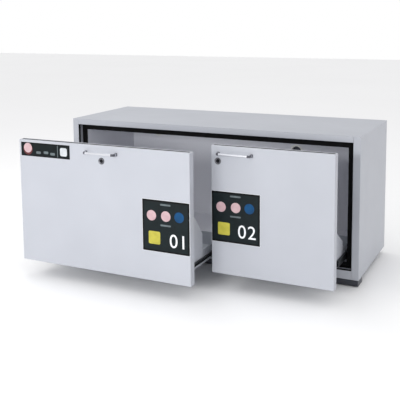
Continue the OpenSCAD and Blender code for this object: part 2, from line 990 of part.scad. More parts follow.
top_panel();
left_side_panel();
right_side_panel();
bottom_panel();
back_panel();
top_board();
bottom_board();
left_board();
right_board();
back_board();
top_lining();
floor_lining();
left_lining();
right_lining();
back_lining();
opening_seal();
base_rails();
centre_bearer();
levelling_feet();
air_ports();
casing_screws();
earth_stud();
centre_runner_support();
outer_rails();
lock_keepers();
left_damper_flap();
right_damper_flap();
left_mid_rails();
right_mid_rails();
left_outer_cages();
left_inner_cages();
right_outer_cages();
right_inner_cages();
left_front_skin();
left_front_core();
left_front_liner();
left_front_seal();
left_handle();
left_screws();
left_lock_barrel();
left_lock_plug();
left_lock_cam();
left_tray();
left_brackets();
left_inner_rails();
left_label_plate();
badge_strip();
right_front_skin();
right_front_core();
right_front_liner();
right_front_seal();
right_handle();
right_screws();
right_lock_barrel();
right_lock_plug();
right_lock_cam();
right_tray();
right_brackets();
right_inner_rails();
right_label_plate();
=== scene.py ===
"""Looks of a two-drawer under-bench reagent cabinet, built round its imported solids.

Lengths are in metres unless a name ends in _mm. +Z is up, +X is to the right of a person who
faces the drawers, and the drawers open towards -Y.
"""

import json
import logging
import math
from dataclasses import dataclass
from enum import Enum
from typing import Sequence

import bmesh
import bpy
from mathutils import Matrix, Vector

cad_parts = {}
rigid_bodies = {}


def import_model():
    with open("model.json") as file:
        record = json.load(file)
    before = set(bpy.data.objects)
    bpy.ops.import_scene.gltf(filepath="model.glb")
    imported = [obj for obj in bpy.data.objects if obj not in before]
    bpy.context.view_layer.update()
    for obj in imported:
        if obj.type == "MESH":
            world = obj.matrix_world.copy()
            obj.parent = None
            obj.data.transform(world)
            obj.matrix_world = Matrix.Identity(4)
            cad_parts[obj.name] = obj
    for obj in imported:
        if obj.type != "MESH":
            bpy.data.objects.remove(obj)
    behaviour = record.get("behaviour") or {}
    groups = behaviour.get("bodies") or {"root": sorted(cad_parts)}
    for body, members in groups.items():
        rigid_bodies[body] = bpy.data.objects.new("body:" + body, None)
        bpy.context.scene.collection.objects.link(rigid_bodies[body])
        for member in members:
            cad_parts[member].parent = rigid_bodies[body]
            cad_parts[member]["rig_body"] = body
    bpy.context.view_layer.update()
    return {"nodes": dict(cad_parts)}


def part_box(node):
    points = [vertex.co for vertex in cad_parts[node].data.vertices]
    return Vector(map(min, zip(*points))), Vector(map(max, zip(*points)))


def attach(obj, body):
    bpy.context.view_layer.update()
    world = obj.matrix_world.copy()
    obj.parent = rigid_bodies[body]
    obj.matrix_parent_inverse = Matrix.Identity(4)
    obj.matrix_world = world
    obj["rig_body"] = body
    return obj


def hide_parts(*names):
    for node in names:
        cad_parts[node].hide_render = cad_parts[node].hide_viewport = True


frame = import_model()
log = logging.getLogger("reagent_cabinet")

MM = 0.001
MERGE = 1e-6                      # points nearer than this become one
FLAT_WITHIN = math.radians(0.5)   # triangles that differ by less lie in one face
SHARP_ABOVE = math.radians(40)    # edges sharper than this stay crisp
EASED_ABOVE = math.radians(50)    # edges sharper than this are eased
EASED_STEPS = 2                   # flat steps across an eased edge
PAST_MM = 5.0                     # how far a cutting body reaches past what it cuts

Line2 = list[tuple[float, float]]
Pair = tuple[float, float]
Triple = tuple[float, float, float]
Object = bpy.types.Object
Mesh = bpy.types.Mesh
Tree = bpy.types.NodeTree
Socket = bpy.types.NodeSocket
Pattern = tuple[Socket, Socket, Socket]


# ---- Node tools -----------------------------------------------------------------------------


def linear(code: str) -> tuple[float, float, float, float]:
    """Turns an sRGB hex colour, six digits after a #, into linear RGBA."""
    parts = [int(code[i:i + 2], 16) / 255 for i in (1, 3, 5)]
    straight = [c / 12.92 if c <= 0.04045 else ((c + 0.055) / 1.055) ** 2.4 for c in parts]
    return (*straight, 1.0)


def put(tree: Tree, kind: str, inputs: dict | None = None, **settings: str) -> bpy.types.Node:
    """Adds a node to a tree, with its settings and links.

    Args:
        tree: the node tree that takes it.
        kind: the node's type in Blender.
        inputs: what each input gets, by name or number: a value, or a socket to link from.
        settings: values of the node's own properties.

    Returns:
        The new node.
    """
    node = tree.nodes.new(kind)
    for name, value in settings.items():
        setattr(node, name, value)
    for key, value in (inputs or {}).items():
        if isinstance(value, bpy.types.NodeSocket):
            tree.links.new(value, node.inputs[key])
        else:
            node.inputs[key].default_value = value
    return node


def worked_out(tree: Tree, operation: str, *values: Socket | float) -> Socket:
    """Gives the result of a math node."""
    return put(tree, "ShaderNodeMath", dict(enumerate(values)), operation=operation).outputs[0]


def vector(tree: Tree, *parts: Socket | float) -> Socket:
    """Joins X, Y and Z to a vector."""
    return put(tree, "ShaderNodeCombineXYZ", dict(enumerate(parts))).outputs[0]


def spread(tree: Tree, value: Socket, between: Pair, to: Pair = (0.0, 1.0)) -> Socket:
    """Stretches what lies between two values to a new range."""
    return put(tree, "ShaderNodeMapRange", {
        "Value": value, "From Min": between[0], "From Max": between[1],
        "To Min": to[0], "To Max": to[1]}).outputs["Result"]


def noise(tree: Tree, place: Socket, size_mm: float, detail: float) -> Socket:
    """Gives a noise whose patches are size_mm wide."""
    return put(tree, "ShaderNodeTexNoise", {
        "Vector": place, "Scale": 1.0 / (size_mm * MM), "Detail": detail}).outputs["Fac"]


def cells(tree: Tree, place: Socket, size_mm: float, **settings: str) -> bpy.types.Node:
    """Gives a pattern of cells that are size_mm wide."""
    return put(tree, "ShaderNodeTexVoronoi",
               {"Vector": place, "Scale": 1.0 / (size_mm * MM)}, **settings)


def stretched(tree: Tree, place: Socket, scale: Triple) -> Socket:
    """Stretches the space that a pattern is drawn in."""
    return put(tree, "ShaderNodeMapping", {"Vector": place, "Scale": scale}).outputs[0]


# ---- Finishes -------------------------------------------------------------------------------


@dataclass(frozen=True)
class Finish:
    """A surface as it was made: colours that drift from light to dark, gloss and fine relief.

    A kind of finish has its own TONES, the values of its pattern that give the darkest and the
    lightest tone, and patch_mm or DRIFT_MM, the width of its slow drifts.
    """

    name: str
    light: str
    dark: str
    smoothest: float
    roughest: float
    grain_mm: float
    relief_mm: float
    metallic: float = 0.0
    specular: float = 0.5

    def texture(self, tree: Tree, place: Socket) -> Pattern:
        """Draws the pattern of the surface.

        Args:
            tree: the material's node tree.
            place: the socket with the point on the object.

        Returns:
            Sockets for tone, gloss and height, each from 0 to 1.
        """
        raise NotImplementedError

    def material(self) -> bpy.types.Material:
        """Builds the material the first time and gives it back after that."""
        made = bpy.data.materials.get(self.name)
        if made:
            return made
        made = bpy.data.materials.new(self.name)
        made.use_nodes = True
        made.diffuse_color = linear(self.light)
        tree = made.node_tree
        tree.nodes.clear()
        place = put(tree, "ShaderNodeTexCoord").outputs["Object"]
        tone, gloss, height = self.texture(tree, place)
        colour = put(tree, "ShaderNodeMix", {0: tone, 6: linear(self.dark), 7: linear(self.light)},
                     data_type="RGBA")
        rough = spread(tree, gloss, (0.0, 1.0), (self.smoothest, self.roughest))
        bump = put(tree, "ShaderNodeBump",
                   {"Height": height, "Strength": 1.0, "Distance": self.relief_mm * MM})
        shader = put(tree, "ShaderNodeBsdfPrincipled", {
            "Base Color": colour.outputs[2], "Roughness": rough, "Normal": bump.outputs[0],
            "Metallic": self.metallic, "Specular IOR Level": self.specular})
        put(tree, "ShaderNodeOutputMaterial", {"Surface": shader.outputs[0]})
        return made


@dataclass(frozen=True)
class SprayedPaint(Finish):
    """Powder coat: melted grains leave a fine orange peel and an even satin sheen."""

    TONES = (0.3, 0.7)
    patch_mm: float = 240.0

    def texture(self, tree: Tree, place: Socket) -> Pattern:
        """Draws slow drifts of tone and the small dimples of the peel."""
        tone = spread(tree, noise(tree, place, self.patch_mm, 3.0), self.TONES)
        gloss = noise(tree, place, self.patch_mm / 5, 3.0)
        return tone, gloss, noise(tree, place, self.grain_mm, 1.5)


@dataclass(frozen=True)
class DrawnMetal(Finish):
    """Rolled or brushed metal: fine lines run one way."""

    TONES = (0.1, 0.45)
    DRIFT_MM = 60.0
    along: Triple = (1.0, 0.02, 1.0)

    def texture(self, tree: Tree, place: Socket) -> Pattern:
        """Draws lines stretched along the way of the rolling, and cloudy patches."""
        lines = noise(tree, stretched(tree, place, self.along), self.grain_mm, 3.0)
        cloud = noise(tree, place, self.DRIFT_MM, 2.0)
        return spread(tree, worked_out(tree, "MULTIPLY", lines, cloud), self.TONES), lines, lines


@dataclass(frozen=True)
class HotDipZinc(Finish):
    """Galvanised sheet: zinc sets in flat crystals that each catch the light differently."""

    def texture(self, tree: Tree, place: Socket) -> Pattern:
        """Draws the crystals as cells of one tone and one gloss each."""
        crystals = cells(tree, place, self.grain_mm).outputs
        parts = put(tree, "ShaderNodeSeparateColor", {"Color": crystals["Color"]}).outputs
        return parts[0], parts[1], crystals["Distance"]


@dataclass(frozen=True)
class CellFoam(Finish):
    """Black cell rubber: small closed cells under a dull skin."""

    TONES = (0.45, 0.75)
    DRIFT_MM = 35.0

    def texture(self, tree: Tree, place: Socket) -> Pattern:
        """Draws the cells as pits, with slow drifts of tone."""
        pits = cells(tree, place, self.grain_mm, feature="SMOOTH_F1").outputs["Distance"]
        return spread(tree, noise(tree, place, self.DRIFT_MM, 4.0), self.TONES), pits, pits


@dataclass(frozen=True)
class PressedBoard(Finish):
    """Board pressed from mineral or paper: fibres and specks in a flat ground."""

    TONES = (0.7, 1.3)
    DRIFT_MM = 300.0
    stretch: Triple = (1.0, 1.0, 1.0)

    def texture(self, tree: Tree, place: Socket) -> Pattern:
        """Draws specks, stretched fibres and slow drifts of tone."""
        fibre = noise(tree, stretched(tree, place, self.stretch), self.grain_mm, 4.0)
        patch = noise(tree, place, self.DRIFT_MM, 2.0)
        return spread(tree, worked_out(tree, "ADD", fibre, patch), self.TONES), patch, fibre


@dataclass(frozen=True)
class MouldedPlastic(Finish):
    """Moulded plastic: the spark-worn mould leaves a fine matt grain."""

    TONES = (0.35, 0.65)
    DRIFT_MM = 30.0

    def texture(self, tree: Tree, place: Socket) -> Pattern:
        """Draws the grain, and a slow drift from handling."""
        drift = spread(tree, noise(tree, place, self.DRIFT_MM, 2.0), self.TONES)
        return drift, drift, noise(tree, place, self.grain_mm, 3.0)


@dataclass(frozen=True)
class ScreenInk(Finish):
    """Screen ink on plastic film: an even colour with the faint tooth of the mesh."""

    TONES = (0.35, 0.65)
    DRIFT_MM = 25.0

    def texture(self, tree: Tree, place: Socket) -> Pattern:
        """Draws the tooth of the printing mesh and a little unevenness."""
        tooth = put(tree, "ShaderNodeTexWave",
                    {"Vector": place, "Scale": 0.5 / (self.grain_mm * MM), "Distortion": 1.0},
                    bands_direction="DIAGONAL").outputs["Fac"]
        drift = spread(tree, noise(tree, place, self.DRIFT_MM, 3.0), self.TONES)
        return drift, drift, tooth


# Light grey powder coat on sheet steel: satin, with peel drawn at 3 mm so that it shows
GREY_COAT = SprayedPaint("light_grey_powder_coat", "#BABDC5", "#B5B8C0", 0.36, 0.46, 3.0, 0.02)
# The same coat on the trays, a darker grey
TRAY_COAT = SprayedPaint("mid_grey_powder_coat", "#A9ADB4", "#A0A4AC", 0.40, 0.52, 3.0, 0.02)
# Black powder coat on the base, glossier so that its round edges catch the light; on the damper
# flaps its black is painted shade deep in the ports
BLACK_COAT_AND_BORE_SHADE = SprayedPaint("black_coat_and_painted_bore_shade", "#3A3D47", "#2E3039", 0.28, 0.42, 2.5, 0.02)
# Matt paint on the studio's floor
PALE_FLOOR = SprayedPaint("pale_floor", "#FCFCFD", "#FAFAFB", 0.7, 0.8, 6.0, 0.01, patch_mm=2000.0)
# Galvanised sheet: crystals of about 14 mm
ZINC_SHEET = HotDipZinc("galvanised_sheet", "#C6C9CC", "#A9ADB1", 0.34, 0.55, 14.0, 0.03, 1.0)
# Bright zinc plate on rolled steel: lines drawn 1.2 mm apart so that they show
ZINC_PLATE = DrawnMetal("zinc_plated_steel", "#CACDD2", "#A5A8AE", 0.26, 0.42, 1.2, 0.01, 1.0)
# The runners' rails: zinc plate darkened to paint the shade that lies on them
ZINC_WITH_PAINTED_SHADE = DrawnMetal("rail_zinc_with_painted_shade", "#66696B", "#505355", 0.3, 0.46, 1.2, 0.01, 1.0)
# Hardened bearing balls in a dark pressed cage
BALL_STEEL = DrawnMetal("oiled_ball_steel", "#8C8F94", "#54575C", 0.2, 0.35, 1.0, 0.01, 1.0)
# Satin anodised aluminium bar: brushed along its length
SATIN_BAR = DrawnMetal("satin_anodised_aluminium", "#D6D7DC", "#BFC1C7", 0.38, 0.5, 0.8, 0.01,
                       1.0, along=(0.02, 1.0, 1.0))
# Black nickel plate on the lock body: a dark grey metal
NICKEL = DrawnMetal("black_nickel_plate", "#7E7F84", "#5C5D62", 0.24, 0.36, 0.8, 0.01, 1.0)
# Burnished lock plug, nearly black
DARK_PLUG = DrawnMetal("burnished_plug", "#3A3A3E", "#1E1E21", 0.22, 0.36, 0.8, 0.01, 1.0)
# Turned brass of the earth terminal
BRASS = DrawnMetal("turned_brass", "#D6B15E", "#B08A3C", 0.2, 0.34, 0.8, 0.01, 1.0,
                   along=(1.0, 0.2, 1.0))
# Melamine facing on the inner boards: fine specks in light grey
LAMINATE = PressedBoard("grey_melamine_facing", "#E6E7ED", "#DDDEE5", 0.34, 0.46, 2.0, 0.01)
# Bare calcium silicate board: chalky, with short fibres
SILICATE = PressedBoard("calcium_silicate_board", "#DDD7C8", "#CBC4B3", 0.75, 0.9, 4.0, 0.15,
                        stretch=(0.25, 0.25, 1.0))
# Swelling seal strip: cells drawn at 1.6 mm so that they show
SEAL_FOAM = CellFoam("black_seal_strip", "#0F1012", "#060607", 0.7, 0.9, 1.6, 0.08,
                     specular=0.15)
# White polypropylene of the air ports
WHITE_PP = MouldedPlastic("white_polypropylene", "#EFEFEB", "#E6E6E1", 0.34, 0.5, 1.2, 0.02)
# Black polyamide of the levelling feet
BLACK_PA = MouldedPlastic("black_polyamide", "#26272A", "#1B1C1F", 0.42, 0.58, 1.2, 0.03)
# Dark grey sleeves on the bends and feet of the handles: their dark is painted shade and painted
# reflection where the bar bends and meets the front
PAINTED_SHADE_SLEEVE = MouldedPlastic("sleeve_polyamide_with_painted_shade", "#5A5B64", "#4A4B53", 0.4, 0.55, 1.2, 0.02)
# White polyester film of the labels, and its number
WHITE_FILM = ScreenInk("label_white_film", "#F6F7FB", "#EEF0F5", 0.28, 0.4, 1.6, 0.005)


def ink(name: str, light: str, dark: str, roughest: float = 0.5,
        specular: float = 0.5) -> ScreenInk:
    """Gives a matt screen ink on polyester film: low specular lets a dark one stay dark."""
    return ScreenInk(name, light, dark, 0.4, roughest, 1.6, 0.005, specular=specular)


# Inks of the dark grounds
DARK_FILM = ink("label_ground_ink", "#0F1C1F", "#0A1518", 0.55, 0.2)
BLACK_INK = ink("label_edge_ink", "#0B0E10", "#07090A", 0.55, 0.15)
BADGE_FILM = ink("badge_ground_ink", "#101A1C", "#0A1113", 0.55, 0.15)
# Inks of the flat shapes on them
PALE_INK = ink("label_pale_ink", "#CBADB1", "#BF9EA4")
BLUE_INK = ink("label_blue_ink", "#084A7A", "#063F6B", specular=0.2)
YELLOW_INK = ink("label_yellow_ink", "#C2BA40", "#B0A836")
RED_INK = ink("label_red_ink", "#5E3031", "#4F2627", specular=0.2)
GREY_INK = ink("label_grey_ink", "#626E72", "#555F63")
SILVER_INK = ink("label_silver_ink", "#CDD2D6", "#BFC4C8")


# ---- Mesh tools -----------------------------------------------------------------------------


class Along(Enum):
    """The axis that a flat outline is run along."""

    X = "x"
    Y = "y"
    Z = "z"

    def place(self, u: float, v: float, w: float) -> Vector:
        """Puts outline point (u, v) at w along the axis."""
        if self is Along.X:
            return Vector((w, u, v))
        if self is Along.Y:
            return Vector((u, w, v))
        return Vector((u, v, w))


def filleted(line: Line2, radius: float, closed: bool, steps: int = 5) -> Line2:
    """Rounds the corners of a flat line.

    Args:
        line: its points, in order.
        radius: radius of each rounded corner.
        closed: whether the last point joins the first.
        steps: straight pieces in each rounded corner.

    Returns:
        The points of the rounded line.
    """
    straight, most_of_side = math.radians(89), 0.49
    count = len(line)
    rounded: Line2 = []
    for i, here in enumerate(line):
        at_end = not closed and i in (0, count - 1)
        corner = Vector(here)
        if at_end or radius <= 0:
            rounded.append(here)
            continue
        back = Vector(line[i - 1]) - corner
        ahead = Vector(line[(i + 1) % count]) - corner
        half = back.angle(ahead) / 2
        if half > straight:
            rounded.append(here)
            continue
        shorter = min(back.length, ahead.length)
        reach = min(radius / math.tan(half), most_of_side * shorter)
        bend = reach * math.tan(half)
        towards = (back.normalized() + ahead.normalized()).normalized()
        centre = corner + towards * bend / math.sin(half)
        start = corner + back.normalized() * reach - centre
        sweep = start.angle_signed(corner + ahead.normalized() * reach - centre)
        for k in range(steps + 1):
            turn = Matrix.Rotation(-sweep * k / steps, 2)
            rounded.append(tuple(centre + turn @ start))
    return rounded


def offset(line: Line2, distance: float) -> Line2:
    """Moves an open line to its left by a distance, with mitred corners."""
    moved: Line2 = []
    for i, here in enumerate(line):
        ways = [(Vector(line[b]) - Vector(line[a])).normalized()
                for a, b in ((i - 1, i), (i, i + 1)) if 0 <= a and b < len(line)]
        lefts = [Vector((-way.y, way.x)) for way in ways]
        middle = sum(lefts, Vector((0.0, 0.0))).normalized()
        reach = distance / middle.dot(lefts[0])
        moved.append(tuple(Vector(here) + middle * reach))
    return moved


def folded(line: Line2, sheet: float, radius: float) -> Line2:
    """Gives the closed outline of a folded sheet whose outer face follows a line.

    Args:
        line: the outer face, drawn so that the sheet lies to its left.
        sheet: thickness of the sheet.
        radius: outer radius of its folds.

    Returns:
        The outline, outer face first.
    """
    outer = filleted(line, radius, False)
    inner = filleted(offset(line, sheet), radius - sheet, False)
    return outer + inner[::-1]


def mirrored(line: Line2) -> Line2:
    """Turns a flat line over, left to right."""
    return [(-u, v) for u, v in line]


def rectangle(u0: float, v0: float, u1: float, v1: float, radius: float = 0.0,
              steps: int = 5) -> Line2:
    """Gives a rectangle's outline with round corners."""
    return filleted([(u0, v0), (u1, v0), (u1, v1), (u0, v1)], radius, True, steps)


def slab(middle: Pair, wide: float, tall: float, radius: float = 0.0) -> Line2:
    """Gives a rectangle's outline from its middle and its size."""
    x, z = middle
    return rectangle(x - wide / 2, z - tall / 2, x + wide / 2, z + tall / 2, radius)


def disc(middle: Pair, radius: float, count: int = 48) -> Line2:
    """Gives a disc's outline."""
    turns = [2 * math.pi * i / count for i in range(count)]
    return [(middle[0] + radius * math.cos(t), middle[1] + radius * math.sin(t)) for t in turns]


class Shape:
    """Closed bodies collected into one mesh."""

    def __init__(self) -> None:
        """Starts empty."""
        self.bm = bmesh.new()

    def skin(self, rings: Sequence[Sequence[Vector]], closed: bool = False) -> "Shape":
        """Stretches a skin over rings of equal count.

        Args:
            rings: the rings in order.
            closed: whether the last ring joins the first, as in a tube. Otherwise both
                ends are capped.

        Returns:
            This shape.
        """
        made = [[self.bm.verts.new(point) for point in points] for points in rings]
        pairs = list(zip(made, made[1:]))
        if closed:
            pairs.append((made[-1], made[0]))
        else:
            self.bm.faces.new(made[0])
            self.bm.faces.new(made[-1])
        for one, other in pairs:
            for i in range(len(one)):
                j = (i + 1) % len(one)
                self.bm.faces.new((one[i], one[j], other[j], other[i]))
        return self

    def run(self, outline: Line2, along: Along, start: float, end: float) -> "Shape":
        """Runs a closed outline along an axis from start to end."""
        return self.skin([[along.place(u, v, w) for u, v in outline] for w in (start, end)])

    def turned(self, centre: Vector, profile: Line2, closed: bool = False,
               count: int = 48) -> "Shape":
        """Turns a profile round a line through centre that runs along Y.

        Args:
            centre: a point on the line, at Y 0.
            profile: (radius, y) of each ring.
            closed: whether the last ring joins the first.
            count: points in each ring.

        Returns:
            This shape.
        """
        turns = [2 * math.pi * (i + 0.5) / count for i in range(count)]
        return self.skin([[centre + Vector((radius * math.cos(t), y, radius * math.sin(t)))
                           for t in turns] for radius, y in profile], closed)

    def mesh(self, name: str) -> Mesh:
        """Merges what coincides, points faces outwards and gives the mesh."""
        bmesh.ops.remove_doubles(self.bm, verts=self.bm.verts, dist=MERGE)
        bmesh.ops.recalc_face_normals(self.bm, faces=self.bm.faces)
        made = bpy.data.meshes.new(name)
        self.bm.to_mesh(made)
        self.bm.free()
        return made

    def piece(self, name: str) -> Object:
        """Gives the shape as an object at the origin."""
        return placed(name, self.mesh(name))


def plain_mesh(piece: Object) -> Mesh:
    """Gives a piece's mesh with its modifiers worked in."""
    depsgraph = bpy.context.evaluated_depsgraph_get()
    return bpy.data.meshes.new_from_object(piece.evaluated_get(depsgraph))


def baked(piece: Object) -> Object:
    """Turns a piece's modifiers into its mesh."""
    made = plain_mesh(piece)
    piece.modifiers.clear()
    piece.data = made
    return piece


def combined(piece: Object, tool: Shape, operation: str) -> None:
    """Cuts a shape from a piece, or joins it on.

    Args:
        piece: the piece, which keeps its name.
        tool: the closed shape that cuts or joins.
        operation: DIFFERENCE or UNION.
    """
    helper = tool.piece("tool")
    step = piece.modifiers.new("join", "BOOLEAN")
    step.operation = operation
    step.object = helper
    step.solver = "EXACT"
    baked(piece)
    bpy.data.objects.remove(helper)


def shaded(mesh: Mesh) -> None:
    """Shades a mesh smooth and keeps its sharp edges crisp."""
    work = bmesh.new()
    work.from_mesh(mesh)
    for face in work.faces:
        face.smooth = True
    for edge in work.edges:
        steep = len(edge.link_faces) == 2 and edge.calc_face_angle() > SHARP_ABOVE
        edge.smooth = not steep
    work.to_mesh(mesh)
    work.free()


def placed(name: str, data: bpy.types.ID) -> Object:
    """Makes an object at the origin from a mesh, text, lamp or camera."""
    made = bpy.data.objects.new(name, data)
    bpy.context.scene.collection.objects.link(made)
    return made


def deliver(piece: Object, finish: Finish, body: str,
            stands_for: str | None = None, edge_mm: float = 0.0) -> None:
    """Finishes a piece and puts it on its body.

    Args:
        piece: the object, at the origin.
        finish: its finish.
        body: the body that it rides on.
        stands_for: the node that it replaces, if any.
        edge_mm: width of the eased edges, 0 for none.
    """
    piece.data.materials.clear()
    piece.data.materials.append(finish.material())
    shaded(piece.data)
    if edge_mm > 0:
        eased = piece.modifiers.new("eased edges", "BEVEL")
        eased.width = edge_mm * MM
        eased.segments = EASED_STEPS
        eased.limit_method = "ANGLE"
        eased.angle_limit = EASED_ABOVE
        eased.harden_normals = True
    else:
        piece.modifiers.new("flat faces", "WEIGHTED_NORMAL").keep_sharp = True
    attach(piece, body)
    if stands_for:
        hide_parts(stands_for)
    log.info("%s rides on %s", piece.name, body)


def merged(node: str) -> bmesh.types.BMesh:
    """Copies a node's mesh to work on, with its double points merged."""
    work = bmesh.new()
    work.from_mesh(frame["nodes"][node].data)
    bmesh.ops.remove_doubles(work, verts=work.verts, dist=MERGE)
    return work


def softened(node: str, finish: Finish, edge_mm: float) -> None:
    """Copies a node with eased edges, dresses the copy and lets it stand for the node.

    Args:
        node: the node to copy and replace.
        finish: the finish of the copy.
        edge_mm: width of the eased edges.
    """
    work = merged(node)
    bmesh.ops.join_triangles(work, faces=work.faces, angle_face_threshold=FLAT_WITHIN,
                             angle_shape_threshold=math.pi)
    mesh = bpy.data.meshes.new(node + "_eased")
    work.to_mesh(mesh)
    work.free()
    deliver(placed(node + "_eased", mesh), finish, body_of(node), node, edge_mm)


def dress(node: str, finish: Finish) -> None:
    """Gives a node its finish and leaves its shape alone."""
    solid = frame["nodes"][node]
    if not solid.material_slots:
        solid.data.materials.append(None)
    for slot in solid.material_slots:
        slot.material = finish.material()
    log.info("%s is dressed in %s", node, finish.name)


def body_of(node: str) -> str:
    """Gives the body that a node belongs to."""
    return frame["nodes"][node]["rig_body"]


def axis(low: Vector, high: Vector) -> Vector:
    """Gives the middle of a box in X and Z, at Y 0."""
    return Vector(((low.x + high.x) / 2, 0, (low.z + high.z) / 2))


def islands(node: str) -> list[tuple[Vector, Vector]]:
    """Gives the lowest and highest corner of each separate solid in a node."""
    work = merged(node)
    left = set(work.verts)
    boxes = []
    while left:
        waiting = [left.pop()]
        found = []
        while waiting:
            vert = waiting.pop()
            found.append(vert.co.copy())
            beside = {edge.other_vert(vert) for edge in vert.link_edges} & left
            left -= beside
            waiting += beside
        boxes.append((Vector([min(p[i] for p in found) for i in range(3)]),
                      Vector([max(p[i] for p in found) for i in range(3)])))
    work.free()
    return sorted(boxes, key=lambda box: tuple(box[0]))


# ---- Screws by node tree --------------------------------------------------------------------


@dataclass(frozen=True)
class PanHeadScrews:
    """Pan-head screws with a cross recess, set on points by a node tree."""

    SIZES = ("Head radius", "Head height", "Shank radius", "Shank length", "Recess")
    HEAD_STEPS = (24, 12)
    SHANK_STEPS = 16
    OVERLAP_MM = 0.3

    head_radius_mm: float
    head_height_mm: float
    shank_radius_mm: float
    shank_length_mm: float
    recess_mm: float = 1.1
    turn_seed: int = 7

    def moved(self, tree: Tree, mesh: Socket, **inputs: Socket | Triple) -> Socket:
        """Moves, turns or scales a mesh."""
        return put(tree, "GeometryNodeTransform", {"Geometry": mesh, **inputs}).outputs[0]

    def cube(self, tree: Tree, *sides: Socket) -> Socket:
        """Makes a box from its three sides."""
        return put(tree, "GeometryNodeMeshCube", {"Size": vector(tree, *sides)}).outputs["Mesh"]

    def joined(self, tree: Tree, operation: str, meshes: Sequence[Socket],
               cut: Socket | None = None) -> Socket:
        """Joins meshes, or cuts them from another.

        Args:
            tree: the node tree.
            operation: DIFFERENCE or UNION.
            meshes: the meshes that join or cut.
            cut: the mesh that they cut, if any.

        Returns:
            The new mesh.
        """
        node = put(tree, "GeometryNodeMeshBoolean", None if cut is None else {"Mesh 1": cut},
                   operation=operation, solver="MANIFOLD")
        for mesh in meshes:
            tree.links.new(mesh, node.inputs["Mesh 2"])
        return node.outputs["Mesh"]

    def head(self, tree: Tree, radius: Socket, height: Socket, recess: Socket) -> Socket:
        """Flattens a ball to a dome and cuts off its lower half and the cross recess."""
        flat = worked_out(tree, "DIVIDE", height, radius)
        segments, rings = self.HEAD_STEPS
        ball = put(tree, "GeometryNodeMeshUVSphere",
                   {"Segments": segments, "Rings": rings, "Radius": radius}).outputs["Mesh"]
        dome = self.moved(tree, ball, Scale=vector(tree, 1.0, 1.0, flat))
        wide = worked_out(tree, "MULTIPLY", radius, 3.0)
        below = worked_out(tree, "MULTIPLY", wide, -0.5)
        tools = [self.moved(tree, self.cube(tree, wide, wide, wide),
                            Translation=vector(tree, 0.0, 0.0, below))]
        for spin in (0.0, math.pi / 2):
            tools.append(self.moved(tree, self.cube(tree, radius, recess, height),
                                    Rotation=(0.0, 0.0, spin),
                                    Translation=vector(tree, 0.0, 0.0, height)))
        return self.joined(tree, "DIFFERENCE", tools, dome)

    def shank(self, tree: Tree, radius: Socket, length: Socket) -> Socket:
        """Hangs the shank under the head, with a short overlap."""
        bar = put(tree, "GeometryNodeMeshCylinder",
                  {"Vertices": self.SHANK_STEPS, "Radius": radius, "Depth": length})
        down = worked_out(tree, "MULTIPLY_ADD", length, -0.5, self.OVERLAP_MM * MM)
        return self.moved(tree, bar.outputs["Mesh"], Translation=vector(tree, 0.0, 0.0, down))

    def tree(self) -> Tree:
        """Builds the node tree once: one screw, set on every point with its own turn.

        Returns:
            The tree, with a named input for each size.
        """
        known = bpy.data.node_groups.get("pan_head_screws")
        if known:
            return known
        tree = bpy.data.node_groups.new("pan_head_screws", "GeometryNodeTree")
        sockets = {"Points": "Geometry", **dict.fromkeys(self.SIZES, "Float"),
                   "Axis turn": "Rotation", "Turn seed": "Int", "Finish": "Material"}
        for name, kind in sockets.items():
            tree.interface.new_socket(name, in_out="INPUT", socket_type="NodeSocket" + kind)
        tree.interface.new_socket("Screws", in_out="OUTPUT", socket_type="NodeSocketGeometry")
        given = put(tree, "NodeGroupInput").outputs
        radius, height, shank_radius, length, recess = [given[name] for name in self.SIZES]
        whole = self.joined(tree, "UNION", (self.head(tree, radius, height, recess),
                                            self.shank(tree, shank_radius, length)))
        set_down = put(tree, "GeometryNodeInstanceOnPoints", {
            "Points": given["Points"], "Instance": whole, "Rotation": given["Axis turn"]})
        turn = put(tree, "FunctionNodeRandomValue", {"Seed": given["Turn seed"], 3: math.pi},
                   data_type="FLOAT")
        spun = put(tree, "GeometryNodeRotateInstances", {
            "Instances": set_down.outputs[0], "Local Space": True,
            "Rotation": vector(tree, 0.0, 0.0, turn.outputs[1])})
        real = put(tree, "GeometryNodeRealizeInstances", {0: spun.outputs[0]})
        dressed = put(tree, "GeometryNodeSetMaterial",
                      {"Geometry": real.outputs[0], "Material": given["Finish"]})
        put(tree, "NodeGroupOutput", {0: dressed.outputs[0]})
        return tree

    def build(self, name: str, spots: list[Vector], axis: Vector,
              finish: Finish) -> Object:
        """Sets the screws and bakes them to a plain mesh.

        Args:
            name: name of the piece.
            spots: the middles of the undersides of the heads.
            axis: the way that the heads face.
            finish: the finish of the screws.

        Returns:
            The screws as one object.
        """
        points = bpy.data.meshes.new(name)
        points.from_pydata([tuple(spot) for spot in spots], [], [])
        screws = placed(name, points)
        tree = self.tree()
        step = screws.modifiers.new("screws", "NODES")
        step.node_group = tree
        sizes_mm = (self.head_radius_mm, self.head_height_mm, self.shank_radius_mm,
                    self.shank_length_mm, self.recess_mm)
        values = {name: size_mm * MM for name, size_mm in zip(self.SIZES, sizes_mm)}
        values["Axis turn"] = Vector((0, 0, 1)).rotation_difference(axis).to_euler()
        values["Turn seed"] = self.turn_seed
        values["Finish"] = finish.material()
        for socket in tree.interface.items_tree:
            if socket.in_out == "INPUT" and socket.name in values:
                step[socket.identifier] = values[socket.name]
        return baked(screws)


# ---- Casing ---------------------------------------------------------------------------------


